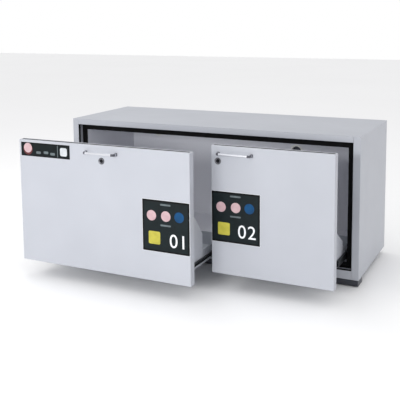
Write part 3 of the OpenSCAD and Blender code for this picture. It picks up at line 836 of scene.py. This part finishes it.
@dataclass
class Casing:
    """The outer shell: top, sides and bottom folded from sheet steel, and the back panel."""

    fold_mm: float = 2.6
    sheet_mm: float = 1.5
    flange_mm: float = 20.0
    lap_mm: float = 100.0
    edge_mm: float = 0.5

    def __post_init__(self) -> None:
        """Reads the casing's faces from the frame."""
        low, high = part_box("right_side_panel")
        self.x_open, self.x_out = low.x, high.x
        self.y_front, self.y_back = low.y, high.y
        self.y_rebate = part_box("right_lining")[0].y
        self.z_bottom = low.z
        self.z_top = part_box("top_panel")[1].z
        self.sheet = self.sheet_mm * MM
        self.fold = self.fold_mm * MM
        self.flange = self.flange_mm * MM

    def side(self, sign: int, node: str) -> None:
        """Folds a side panel: return, upright of the frame, side and rear flange.

        Args:
            sign: 1 for the right side, -1 for the left.
            node: the node that it stands for.
        """
        x_open, x_out = self.x_open, self.x_out
        line = [(x_open, self.y_rebate), (x_open, self.y_front), (x_out, self.y_front),
                (x_out, self.y_back), (x_out - self.flange, self.y_back)]
        outline = [(sign * u, v) for u, v in folded(line, self.sheet, self.fold)]
        shape = Shape().run(outline, Along.Z, self.z_bottom, self.z_top - self.sheet)
        deliver(shape.piece(node + "_folded"), GREY_COAT, "casing", node)

    def top(self) -> None:
        """Folds the top: return and lip between the uprights, full-width sheet, rear flange."""
        z_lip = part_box("opening_seal")[1].z
        flange_end = (self.y_back, self.z_top - self.flange)
        line = [(self.y_rebate, z_lip), (self.y_front, z_lip), (self.y_front, self.z_top),
                (self.y_back, self.z_top), flange_end]
        middle = mirrored(folded(mirrored(line), self.sheet, self.fold))
        shape = Shape().run(middle, Along.X, -self.x_open, self.x_open)
        piece = shape.piece("top_panel_folded")
        sheet = rectangle(self.y_front, self.z_top - self.sheet, self.y_back, self.z_top)
        line = [(self.y_back - self.lap_mm * MM, self.z_top), (self.y_back, self.z_top),
                flange_end]
        flange = mirrored(folded(mirrored(line), self.sheet, self.fold))
        for outline, half in ((sheet, self.x_out), (flange, self.x_out - self.flange)):
            combined(piece, Shape().run(outline, Along.X, -half, half), "UNION")
        deliver(piece, GREY_COAT, "casing", "top_panel", self.edge_mm)

    def build(self) -> None:
        """Makes the panels."""
        self.side(1, "right_side_panel")
        self.side(-1, "left_side_panel")
        self.top()
        softened("bottom_panel", GREY_COAT, self.edge_mm)
        softened("back_panel", ZINC_SHEET, self.edge_mm)


@dataclass
class Insulation:
    """The boards in the walls and their grey facing."""

    edge_mm: float = 0.6

    def build(self) -> None:
        """Dresses the hidden boards and eases the edges of the facing."""
        for side in ("top", "bottom", "left", "right", "back"):
            dress(side + "_board", SILICATE)
        for side in ("top", "floor", "left", "right", "back"):
            softened(side + "_lining", LAMINATE, self.edge_mm)


@dataclass
class OpeningSeals:
    """The black strips on the step behind the fronts and in the gap round them."""

    edge_mm: float = 1.0

    def build(self) -> None:
        """Rounds the strips."""
        softened("opening_seal", SEAL_FOAM, self.edge_mm)


@dataclass
class Base:
    """Black base rails, the bearer between them and the levelling feet."""

    edge_mm: float = 0.6

    def build(self) -> None:
        """Eases the rails and dresses the feet."""
        softened("base_rails", BLACK_COAT_AND_BORE_SHADE, self.edge_mm)
        softened("centre_bearer", BLACK_COAT_AND_BORE_SHADE, self.edge_mm)
        dress("levelling_feet", BLACK_PA)


@dataclass
class AirPorts:
    """Two flanged tubes through the back wall, each with a damper flap."""

    wall_mm: float = 1.6
    brim_mm: float = 8.0
    bead_mm: float = 1.2
    inner_flange_mm: float = 3.0
    outer_flange_mm: float = 3.0
    outer_rim_mm: float = 2.0

    def port(self, low: Vector, high: Vector, number: int) -> None:
        """Turns one port: inner flange with a bead, tube, and outer flange.

        Args:
            low: the lowest corner of the port's solid.
            high: its highest corner.
            number: its number from the left, for its name.
        """
        centre = axis(low, high)
        brim = (high.x - low.x) / 2
        tube = brim - self.brim_mm * MM
        bore = tube - self.wall_mm * MM
        bead = self.bead_mm * MM
        y_in, y_out = low.y, high.y
        y_wall = y_in + self.inner_flange_mm * MM
        y_skin = Casing().y_back
        y_rim, y_flange = y_skin + self.outer_rim_mm * MM, y_skin + self.outer_flange_mm * MM
        profile = [
            (bore, y_in + bead), (bore + bead, y_in), (tube + bead, y_in),
            (tube + 2 * bead, y_in + bead / 2), (brim - bead, y_in + bead),
            (brim, y_in + 2 * bead), (brim, y_wall), (tube, y_wall), (tube, y_skin),
            (brim, y_skin), (brim, y_rim), (brim - bead, y_flange), (tube, y_flange),
            (tube, y_out - bead), (tube - bead, y_out), (bore, y_out)]
        shape = Shape().turned(centre, profile, closed=True, count=64)
        deliver(shape.piece(f"air_port_{number}"), WHITE_PP, "casing",
                "air_ports")

    def build(self) -> None:
        """Makes both ports and dresses the flaps."""
        for number, (low, high) in enumerate(islands("air_ports"), 1):
            self.port(low, high, number)
        # the flaps' black stands in for the shade deep in the ports: painted shade
        dress("left_damper_flap", BLACK_COAT_AND_BORE_SHADE)
        dress("right_damper_flap", BLACK_COAT_AND_BORE_SHADE)


@dataclass
class EarthTerminal:
    """The brass earth terminal on the back.

    plate_mm and nut_top_mm are heights above the back panel, nut_mm and stud_mm are radii, and
    an ease is given across and along the axis.
    """

    plate_mm: float = 1.0
    plate_ease_mm: Pair = (0.6, 0.5)
    nut_mm: float = 7.5
    nut_top_mm: float = 7.0
    nut_ease_mm: Pair = (1.0, 0.8)
    stud_mm: float = 4.0
    bare_mm: float = 0.5
    pitch_mm: float = 1.25
    thread_mm: float = 0.7

    def build(self) -> None:
        """Turns the foot plate, the hexagon nut and the threaded stud."""
        low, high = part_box("earth_stud")
        centre = axis(low, high)
        skin = Casing().y_back
        foot, top = skin + self.plate_mm * MM, skin + self.nut_top_mm * MM
        shape = Shape()
        plate = (high.x - low.x) / 2
        across, along = (size * MM for size in self.plate_ease_mm)
        shape.turned(centre, [(plate - across, foot), (plate, foot - along), (plate, low.y)],
                     count=40)
        nut = self.nut_mm * MM
        across, along = (size * MM for size in self.nut_ease_mm)
        shape.turned(centre, [(nut - across, top), (nut, top - along), (nut, foot + along),
                              (nut - across, foot)], count=6)
        crest, pitch, bare = self.stud_mm * MM, self.pitch_mm * MM, self.bare_mm * MM
        root = crest - self.thread_mm * MM
        profile = [(root, top - bare)]
        height = top + bare
        while height < high.y - 2 * pitch:
            profile += [(root, height), (crest, height + pitch / 2)]
            height += pitch
        profile += [(root, height), (root - self.thread_mm * MM, high.y)]
        shape.turned(centre, profile, count=24)
        deliver(shape.piece("earth_terminal_turned"), BRASS, "casing",
                "earth_stud")


@dataclass
class CasingHardware:
    """Screws, earth terminal, lock keepers and the runner support on the floor."""

    back_screws: PanHeadScrews = PanHeadScrews(5.0, 2.0, 2.0, 8.0)
    support_screws: PanHeadScrews = PanHeadScrews(4.0, 1.6, 1.8, 6.0)
    # outer_rails take the darkened zinc: painted shade on the rails
    edges: tuple = (("lock_keepers", ZINC_PLATE, 0.3), ("centre_runner_support", ZINC_PLATE, 0.5),
                    ("outer_rails", ZINC_WITH_PAINTED_SHADE, 0.4))

    def screws(self) -> None:
        """Sets the back panel's screws and those of the runner support."""
        on_back: list[Vector] = []
        on_floor: list[Vector] = []
        for low, high in islands("casing_screws"):
            middle = (low + high) / 2
            if high.y - low.y < high.z - low.z:
                on_back.append(Vector((middle.x, low.y, middle.z)))
            else:
                on_floor.append(Vector((middle.x, middle.y, low.z)))
        for name, screws, spots, axis in (
                ("back_panel_screws", self.back_screws, on_back, Vector((0, 1, 0))),
                ("support_screws", self.support_screws, on_floor, Vector((0, 0, 1)))):
            piece = screws.build(name, spots, axis, ZINC_PLATE)
            deliver(piece, ZINC_PLATE, "casing", "casing_screws")

    def build(self) -> None:
        """Makes the hardware."""
        self.screws()
        EarthTerminal().build()
        for node, finish, edge_mm in self.edges:
            softened(node, finish, edge_mm)


# ---- Prints ---------------------------------------------------------------------------------


@dataclass
class Film:
    """A plate with flat patches of ink, in layers.

    Places on it are shares of its width and height, from its lower left corner.
    """

    INK_MM = 0.12
    PLATE_EDGE_MM = 0.2
    CORNER_MM = 2.0
    BAR_ROUND = 0.4

    node: str

    def __post_init__(self) -> None:
        """Reads the plate's place from the frame."""
        self.low, self.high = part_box(self.node)
        self.wide, self.tall = self.high.x - self.low.x, self.high.z - self.low.z
        self.body = body_of(self.node)

    def at(self, place: Pair) -> Pair:
        """Gives X and Z of a place on the plate."""
        return self.low.x + place[0] * self.wide, self.low.z + place[1] * self.tall

    def inside(self, edge_mm: float) -> Line2:
        """Gives the outline of the plate without an edge."""
        edge = edge_mm * MM
        return rectangle(self.low.x + edge, self.low.z + edge, self.high.x - edge,
                         self.high.z - edge, self.CORNER_MM * MM)

    def bar(self, place: Pair, size_mm: Pair) -> Line2:
        """Gives the outline of a bar with round ends."""
        wide, tall = (size * MM for size in size_mm)
        return slab(self.at(place), wide, tall, self.BAR_ROUND * tall)

    def chip(self, place: Pair, side_mm: float, corner_mm: float) -> Line2:
        """Gives the outline of a square with round corners."""
        return slab(self.at(place), side_mm * MM, side_mm * MM, corner_mm * MM)

    def face(self, layer: int) -> float:
        """Gives the Y of the surface that a layer lies on, 0 for the plate's own."""
        return self.low.y - layer * self.INK_MM * MM

    def patch(self, part: str, outline: Line2, ink: Finish, layer: int) -> None:
        """Prints one flat patch of ink.

        Args:
            part: the last part of the piece's name.
            outline: its outline in X and Z.
            ink: its finish.
            layer: how many layers lie under it.
        """
        shape = Shape().run(outline, Along.Y, self.face(layer + 1), self.face(layer))
        deliver(shape.piece(f"{self.node}_{part}"), ink, self.body)


@dataclass
class LabelPrint(Film):
    """The square label: dark printed field in a white edge, plain dots, chip and number."""

    number: str
    edge_mm: float = 1.2
    ground_mm: float = 9.0
    dots: tuple = (("dot_a", (0.2, 0.692), PALE_INK), ("dot_b", (0.503, 0.7), PALE_INK),
                   ("dot_c", (0.78, 0.708), BLUE_INK))
    dot_mm: float = 21.0
    bars: tuple = (("bar_a", (0.496, 0.914)), ("bar_b", (0.497, 0.523)))
    bar_mm: Pair = (46.0, 7.0)
    chip_at: Pair = (0.257, 0.27)
    chip_mm: float = 52.0
    chip_corner_mm: float = 6.0
    digits_at: Pair = (0.73, 0.2475)
    digits_tall: float = 0.255
    digits_apart: float = 1.1

    def digits(self, layer: int) -> None:
        """Prints the drawer's number, on top of a count of layers."""
        name = self.node + "_number"
        text = bpy.data.curves.new(name, "FONT")
        text.body = self.number
        text.space_character = self.digits_apart
        text.extrude = self.INK_MM * MM / 2
        holder = placed(name, text)
        mesh = plain_mesh(holder)
        bpy.data.objects.remove(holder)
        across = [vert.co.x for vert in mesh.vertices]
        upward = [vert.co.y for vert in mesh.vertices]
        scale = self.digits_tall * self.tall / (max(upward) - min(upward))
        mesh.transform(Matrix.Translation((-(max(across) + min(across)) / 2,
                                           -(max(upward) + min(upward)) / 2, 0)))
        mesh.transform(Matrix.Diagonal((scale, scale, 1, 1)))
        x, z = self.at(self.digits_at)
        middle = Vector((x, self.face(layer) - text.extrude, z))
        mesh.transform(Matrix.Translation(middle) @ Matrix.Rotation(math.pi / 2, 4, "X"))
        deliver(placed(name, mesh), WHITE_FILM, self.body)

    def build(self) -> None:
        """Prints the whole label over its plate."""
        softened(self.node, WHITE_FILM, self.PLATE_EDGE_MM)
        self.patch("edge", self.inside(self.edge_mm), BLACK_INK, 0)
        self.patch("ground", self.inside(self.ground_mm), DARK_FILM, 1)
        for part, place, ink in self.dots:
            self.patch(part, disc(self.at(place), self.dot_mm * MM), ink, 2)
        for part, place in self.bars:
            self.patch(part, self.bar(place, self.bar_mm), GREY_INK, 2)
        self.patch("chip", self.chip(self.chip_at, self.chip_mm, self.chip_corner_mm),
                   YELLOW_INK, 2)
        self.digits(2)


@dataclass
class BadgeStrip(Film):
    """The dark strip at the top of the left front: plain shapes and a thin divider."""

    rim_mm: float = 4.0
    disc_at: Pair = (0.143, 0.5)
    disc_mm: float = 24.0
    pale_mm: float = 21.0
    pale_up_mm: float = 6.0
    bars: tuple = ((0.363, 0.3), (0.518, 0.34), (0.653, 0.28))
    bar_mm: Pair = (24.0, 11.0)
    divider: float = 0.756
    divider_mm: float = 3.0
    square_at: Pair = (0.877, 0.489)
    square_mm: float = 35.0
    square_corner_mm: float = 8.0

    def build(self) -> None:
        """Prints the strip."""
        softened(self.node, BLACK_INK, self.PLATE_EDGE_MM)
        self.patch("ground", self.inside(self.rim_mm), BADGE_FILM, 0)
        x, z = self.at(self.disc_at)
        self.patch("disc", disc((x, z), self.disc_mm * MM), RED_INK, 1)
        self.patch("disc_top", disc((x, z + self.pale_up_mm * MM), self.pale_mm * MM), PALE_INK, 2)
        for i, place in enumerate(self.bars, 1):
            self.patch(f"bar_{i}", self.bar(place, self.bar_mm), GREY_INK, 1)
        line = slab(self.at((self.divider, 0.5)), self.divider_mm * MM,
                    self.tall - 2 * self.rim_mm * MM)
        self.patch("divider", line, GREY_INK, 1)
        square = self.chip(self.square_at, self.square_mm, self.square_corner_mm)
        self.patch("square", square, SILVER_INK, 1)


# ---- Drawers --------------------------------------------------------------------------------


class Hand(Enum):
    """Which of the two drawers."""

    LEFT = "left"
    RIGHT = "right"

    def node(self, part: str) -> str:
        """Gives the full name of one of the drawer's nodes."""
        return f"{self.value}_{part}"


@dataclass
class Front:
    """A drawer's front: folded skin, core, liner, seal, and the screws on its back.

    The holes through it are given by their radii.
    """

    hand: Hand
    fold_mm: float = 3.0
    fold_steps: int = 6
    skin_mm: float = 1.5
    tightest_mm: float = 0.3
    corner_steps: int = 4
    groove_mm: float = 1.0
    lock_hole_mm: float = 11.2
    post_hole_mm: float = 2.6
    post_in_mm: float = 4.5
    liner_edge_mm: float = 0.4
    seal_edge_mm: float = 0.6
    back_screws: PanHeadScrews = PanHeadScrews(4.5, 2.4, 2.0, 9.0)

    def pan(self, stations: Line2) -> Shape:
        """Forms a shallow pan open towards +Y, in the skin's box.

        Args:
            stations: (inset, y) of each ring, from the rim over the front and back inside.

        Returns:
            The pan.
        """
        low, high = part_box(self.hand.node("front_skin"))
        rings = []
        for inset, y in stations:
            corner = max(self.fold_mm * MM - inset, self.tightest_mm * MM)
            outline = rectangle(low.x + inset, low.z + inset, high.x - inset, high.z - inset,
                                corner, self.corner_steps)
            rings.append([Along.Y.place(u, v, y) for u, v in outline])
        return Shape().skin(rings)

    def quarter(self, radius: float, inset: float, y: float) -> Line2:
        """Gives the rounded edge of a pan.

        Args:
            radius: radius of the edge.
            inset: how far its outer end lies inside the skin's box.
            y: the middle of its curve.

        Returns:
            Its points, from the pan's wall to its floor.
        """
        turns = [i * math.pi / 2 / self.fold_steps for i in range(self.fold_steps + 1)]
        return [(inset + radius - radius * math.cos(t), y - radius * math.sin(t)) for t in turns]

    def holes(self) -> Shape:
        """Gives the bodies that bore the holes for the lock and for the handle's screws."""
        low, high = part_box(self.hand.node("front_skin"))
        start, end = low.y - 2 * PAST_MM * MM, high.y + 2 * PAST_MM * MM
        handle_low, handle_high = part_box(self.hand.node("handle"))
        reach = Vector(((handle_high.x - handle_low.x) / 2 - self.post_in_mm * MM, 0, 0))
        handle = axis(handle_low, handle_high)
        bores = Shape()
        lock = axis(*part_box(self.hand.node("lock_plug")))
        for centre, radius_mm in ((lock, self.lock_hole_mm),
                                  (handle - reach, self.post_hole_mm),
                                  (handle + reach, self.post_hole_mm)):
            radius = radius_mm * MM
            bores.turned(centre, [(radius, start), (radius, end)], count=32)
        return bores

    def groove(self) -> Shape:
        """Gives the body that cuts the groove for the dark strip on the top edge."""
        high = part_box(self.hand.node("front_skin"))[1]
        strip_low, strip_high = min(islands(self.hand.node("front_seal")),
                                    key=lambda box: box[1].z - box[0].z)
        section = rectangle(strip_low.y, strip_low.z - self.groove_mm * MM, strip_high.y,
                            high.z + PAST_MM * MM)
        return Shape().run(section, Along.X, strip_low.x, strip_high.x)

    def skin(self) -> None:
        """Folds the outer skin, with rounded edges, holes and the groove."""
        node = self.hand.node("front_skin")
        low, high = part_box(node)
        fold, sheet = self.fold_mm * MM, self.skin_mm * MM
        outer = [(0.0, high.y), *self.quarter(fold, 0.0, low.y + fold)]
        inner = [*reversed(self.quarter(fold - sheet, sheet, low.y + fold)), (sheet, high.y),
                 (sheet, high.y + PAST_MM * MM)]
        piece = self.pan(outer).piece(node + "_folded")
        for tool in (self.pan(inner), self.holes(), self.groove()):
            combined(piece, tool, "DIFFERENCE")
        deliver(piece, GREY_COAT, body_of(node), node)

    def build(self) -> None:
        """Makes the skin and finishes what lies behind it."""
        self.skin()
        dress(self.hand.node("front_core"), SILICATE)
        softened(self.hand.node("front_liner"), GREY_COAT, self.liner_edge_mm)
        softened(self.hand.node("front_seal"), SEAL_FOAM, self.seal_edge_mm)

    def screws(self) -> None:
        """Sets the screws on the back of the front."""
        node = self.hand.node("screws")
        head = self.back_screws.head_height_mm * MM
        spots = [axis(low, high) + Vector((0, high.y - head, 0)) for low, high in islands(node)]
        piece = self.back_screws.build(node + "_set", spots, Vector((0, 1, 0)), ZINC_PLATE)
        deliver(piece, ZINC_PLATE, body_of(node), node)


@dataclass
class Handle:
    """A bow handle bent from one bar, with dark sleeves that paint shade and reflection on its
    bends and feet.
    """

    node: str
    deep_mm: float = 8.0
    round_mm: float = 2.6
    round_steps: int = 4
    bend_mm: float = 11.0
    bend_steps: int = 8
    sleeve_mm: float = 0.4
    sleeve_edge_mm: float = 0.4
    foot_mm: float = 3.0

    def swept(self, path: Line2, z: float, deep: float, tall: float) -> list[list[Vector]]:
        """Carries a bar's rounded section along a level path.

        Args:
            path: points in X and Y.
            z: height of the path.
            deep: size of the section across the path.
            tall: height of the section.

        Returns:
            One ring for each point of the path.
        """
        section = rectangle(-deep / 2, -tall / 2, deep / 2, tall / 2, self.round_mm * MM,
                            self.round_steps)
        rings = []
        for i, here in enumerate(path):
            before = Vector(path[max(i - 1, 0)])
            after = Vector(path[min(i + 1, len(path) - 1)])
            way = (after - before).normalized()
            left = Vector((-way.y, way.x))
            rings.append([Vector((here[0] + left.x * u, here[1] + left.y * u, z + v))
                          for u, v in section])
        return rings

    def build(self) -> None:
        """Bends the bar and sets the dark sleeves, painted shade and reflection, on it."""
        low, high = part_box(self.node)
        body = body_of(self.node)
        z = axis(low, high).z
        deep, tall = self.deep_mm * MM, high.z - low.z
        middle = [(low.x + deep / 2, high.y), (low.x + deep / 2, low.y + deep / 2),
                  (high.x - deep / 2, low.y + deep / 2), (high.x - deep / 2, high.y)]
        path = filleted(middle, self.bend_mm * MM, False, self.bend_steps)
        slack = 2 * self.sleeve_mm * MM
        bar = Shape().skin(self.swept(path, z, deep - slack, tall - slack))
        deliver(bar.piece(self.node + "_bar"), SATIN_BAR, body, self.node)
        sleeves = Shape()
        split = self.bend_steps + 2
        for bend in (path[1:split], path[split:-1]):
            sleeves.skin(self.swept(bend, z, deep, tall))
        foot = self.foot_mm * MM
        for x in (path[0][0], path[-1][0]):
            sleeves.skin(self.swept([(x, high.y - foot), (x, high.y)], z, deep + foot, tall + foot))
        # the sleeves' dark grey is painted shade and painted reflection on the bends and feet
        deliver(sleeves.piece(self.node + "_painted_shade_sleeves"), PAINTED_SHADE_SLEEVE, body,
                edge_mm=self.sleeve_edge_mm)


@dataclass
class Lock:
    """A drawer's lock: rosette and barrel, its nut, the plug with its key slot, and the cam.

    Round parts are given by their radii, the tail by its side and length, and the key slot by
    its width, height and depth.
    """

    hand: Hand
    barrel_mm: float = 11.0
    bore_mm: float = 7.1
    lip_mm: float = 1.2
    crown_mm: float = 1.0
    ease_mm: float = 0.8
    rosette_deep_mm: float = 3.0
    nut_wall_mm: float = 1.5
    nut_deep_mm: float = 4.0
    nut_ease_mm: float = 0.6
    plug_mm: float = 7.0
    plug_in_mm: float = 1.2
    pin_end_mm: float = 4.0
    tail_mm: Pair = (8.0, 6.0)
    slot_mm: Triple = (1.6, 9.0, 6.0)
    slot_round_mm: float = 0.7
    cam_edge_mm: float = 0.3

    def barrel(self) -> None:
        """Turns the rosette and barrel, and the hexagon nut behind the front."""
        node = self.hand.node("lock_barrel")
        low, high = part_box(node)
        centre = axis(*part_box(self.hand.node("lock_plug")))
        rosette = (high.x - low.x) / 2
        barrel, bore, ease = self.barrel_mm * MM, self.bore_mm * MM, self.ease_mm * MM
        skin = low.y + self.rosette_deep_mm * MM
        shape = Shape().turned(centre, [
            (bore, low.y + 2 * ease), (bore + self.lip_mm * MM, low.y + ease),
            (barrel - self.crown_mm * MM, low.y), (barrel, low.y),
            (rosette - ease, low.y + 2 * ease), (rosette, low.y + 3 * ease), (rosette, skin),
            (barrel, skin), (barrel, high.y), (bore, high.y)], closed=True, count=64)
        nut, nut_front = barrel + self.nut_wall_mm * MM, high.y - self.nut_deep_mm * MM
        shape.turned(centre, [
            (barrel, nut_front), (nut, nut_front), (nut, high.y - self.nut_ease_mm * MM),
            (nut - ease, high.y), (barrel, high.y)], closed=True, count=6)
        deliver(shape.piece(node + "_turned"), NICKEL, body_of(node), node)

    def plug(self) -> None:
        """Turns the plug, with its square tail and its key slot."""
        node = self.hand.node("lock_plug")
        low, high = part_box(node)
        centre = axis(low, high)
        radius, ease = self.plug_mm * MM, self.ease_mm * MM
        face = low.y + self.plug_in_mm * MM
        pin = Shape().turned(centre, [(radius - ease, face), (radius, face + ease),
                                      (radius, high.y - self.pin_end_mm * MM)])
        piece = pin.piece(node + "_turned")
        side, long = (size * MM for size in self.tail_mm)
        tail = slab((centre.x, centre.z), side, side)
        combined(piece, Shape().run(tail, Along.Y, high.y - long, high.y), "UNION")
        wide, tall, deep = (size * MM for size in self.slot_mm)
        slot = slab((centre.x, centre.z), wide, tall, self.slot_round_mm * MM)
        combined(piece, Shape().run(slot, Along.Y, face - PAST_MM * MM, face + deep),
                 "DIFFERENCE")
        deliver(piece, DARK_PLUG, body_of(node), node)

    def build(self) -> None:
        """Makes the lock."""
        self.barrel()
        self.plug()
        softened(self.hand.node("lock_cam"), ZINC_PLATE, self.cam_edge_mm)


@dataclass
class Drawer:
    """One drawer: front, handle, lock, label, tray, side brackets and runners."""

    hand: Hand
    number: str
    # the rails take the darkened zinc: painted shade on the rails
    edges: tuple = (("tray", TRAY_COAT, 0.5), ("brackets", GREY_COAT, 0.4),
                    ("inner_rails", ZINC_WITH_PAINTED_SHADE, 0.4), ("mid_rails", ZINC_WITH_PAINTED_SHADE, 0.4))

    def carriage(self) -> None:
        """Eases the tray, the side brackets and the rails that the drawer rolls on."""
        for part, finish, edge_mm in self.edges:
            softened(self.hand.node(part), finish, edge_mm)
        for part in ("outer_cages", "inner_cages"):
            dress(self.hand.node(part), BALL_STEEL)

    def build(self) -> None:
        """Makes the whole drawer."""
        front = Front(self.hand)
        front.build()
        Handle(self.hand.node("handle")).build()
        Lock(self.hand).build()
        LabelPrint(self.hand.node("label_plate"), self.number).build()
        front.screws()
        self.carriage()


# ---- Studio ---------------------------------------------------------------------------------


@dataclass
class Studio:
    """Floor, soft light and the camera at the photograph's viewing angle.

    Each lamp has a name, a place, a width, a height and its power in watts.
    """

    camera_at_mm: Triple = (1377.74, -3110.70, 1117.37)
    turn_degrees: float = 25.977
    down_degrees: float = 7.12
    roll_degrees: float = -0.546
    focal_pixels: float = 725.4
    image_pixels: float = 400.0
    sensor_mm: float = 36.0
    rise: float = -0.234
    floor_wide: float = 30.0
    floor_deep: float = 0.02
    room_light: Pair = (0.36, 1.18)
    seen_light: float = 1.0
    aim: Triple = (0.0, -0.2, 0.35)
    lamps: tuple = (("front", (-0.2, -3.3, 1.16), 1.0, 0.4, 31.0),
                    ("left", (-3.2, -3.8, 1.26), 1.2, 0.5, 15.0),
                    ("right", (4.3, -2.5, 1.5), 1.2, 1.2, 5.0),
                    ("side", (5.0, -0.2, 1.2), 1.2, 1.2, 9.0),
                    ("top_left", (-1.6, 0.1, 3.4), 1.5, 1.5, 18.0))

    def camera(self) -> None:
        """Sets the camera by its turn, its pitch and its roll."""
        turn, down = math.radians(self.turn_degrees), math.radians(self.down_degrees)
        roll = math.radians(self.roll_degrees)
        forward = Vector((-math.sin(turn) * math.cos(down), math.cos(turn) * math.cos(down),
                          -math.sin(down)))
        right = Vector((math.cos(turn), math.sin(turn), 0))
        up = right.cross(forward)
        across = right * math.cos(roll) + up * math.sin(roll)
        upright = up * math.cos(roll) - right * math.sin(roll)
        data = bpy.data.cameras.new("camera")
        data.sensor_width = self.sensor_mm
        data.lens = self.focal_pixels * self.sensor_mm / self.image_pixels
        data.shift_y = self.rise
        camera = placed("camera", data)
        turned = Matrix((across, upright, -forward)).transposed().to_4x4()
        camera.matrix_world = Matrix.Translation(Vector(self.camera_at_mm) * MM) @ turned
        bpy.context.scene.camera = camera

    def floor(self) -> None:
        """Lays a plain pale floor."""
        outline = slab((0.0, 0.0), self.floor_wide, self.floor_wide)
        shape = Shape().run(outline, Along.Z, -self.floor_deep, 0.0)
        floor = shape.piece("floor")
        floor.data.materials.append(PALE_FLOOR.material())

    def light(self) -> None:
        """Hangs the soft lamps and lights the room, more from above than from the sides."""
        for name, place, wide, tall, watts in self.lamps:
            data = bpy.data.lights.new(name, "AREA")
            data.shape = "RECTANGLE"
            data.size = wide
            data.size_y = tall
            data.energy = watts
            lamp = placed(name, data)
            lamp.location = place
            way = Vector(self.aim) - Vector(place)
            lamp.rotation_euler = way.to_track_quat("-Z", "Y").to_euler()
        world = bpy.data.worlds.new("studio")
        world.use_nodes = True
        tree = world.node_tree
        way = put(tree, "ShaderNodeTexCoord").outputs["Generated"]
        height = put(tree, "ShaderNodeSeparateXYZ", {"Vector": way}).outputs["Z"]
        room = spread(tree, height, (0.0, 1.0), self.room_light)
        seen = put(tree, "ShaderNodeLightPath").outputs["Is Camera Ray"]
        strength = spread(tree, seen, (0.0, 1.0), (room, self.seen_light))
        background = tree.nodes["Background"]
        background.inputs["Color"].default_value = linear("#FFFFFF")
        tree.links.new(strength, background.inputs["Strength"])
        bpy.context.scene.world = world
        bpy.context.scene.view_settings.view_transform = "Standard"

    def build(self) -> None:
        """Sets the studio up."""
        self.camera()
        self.floor()
        self.light()


def main() -> None:
    """Builds the cabinet in order."""
    logging.basicConfig(level=logging.INFO, format="%(name)s: %(message)s")
    for part in (Studio(), Casing(), Insulation(), OpeningSeals(), Base(), AirPorts(),
                 CasingHardware(), Drawer(Hand.LEFT, "01"), Drawer(Hand.RIGHT, "02"),
                 BadgeStrip("badge_strip")):
        part.build()
    bpy.context.view_layer.update()


if __name__ == "__main__":
    main()
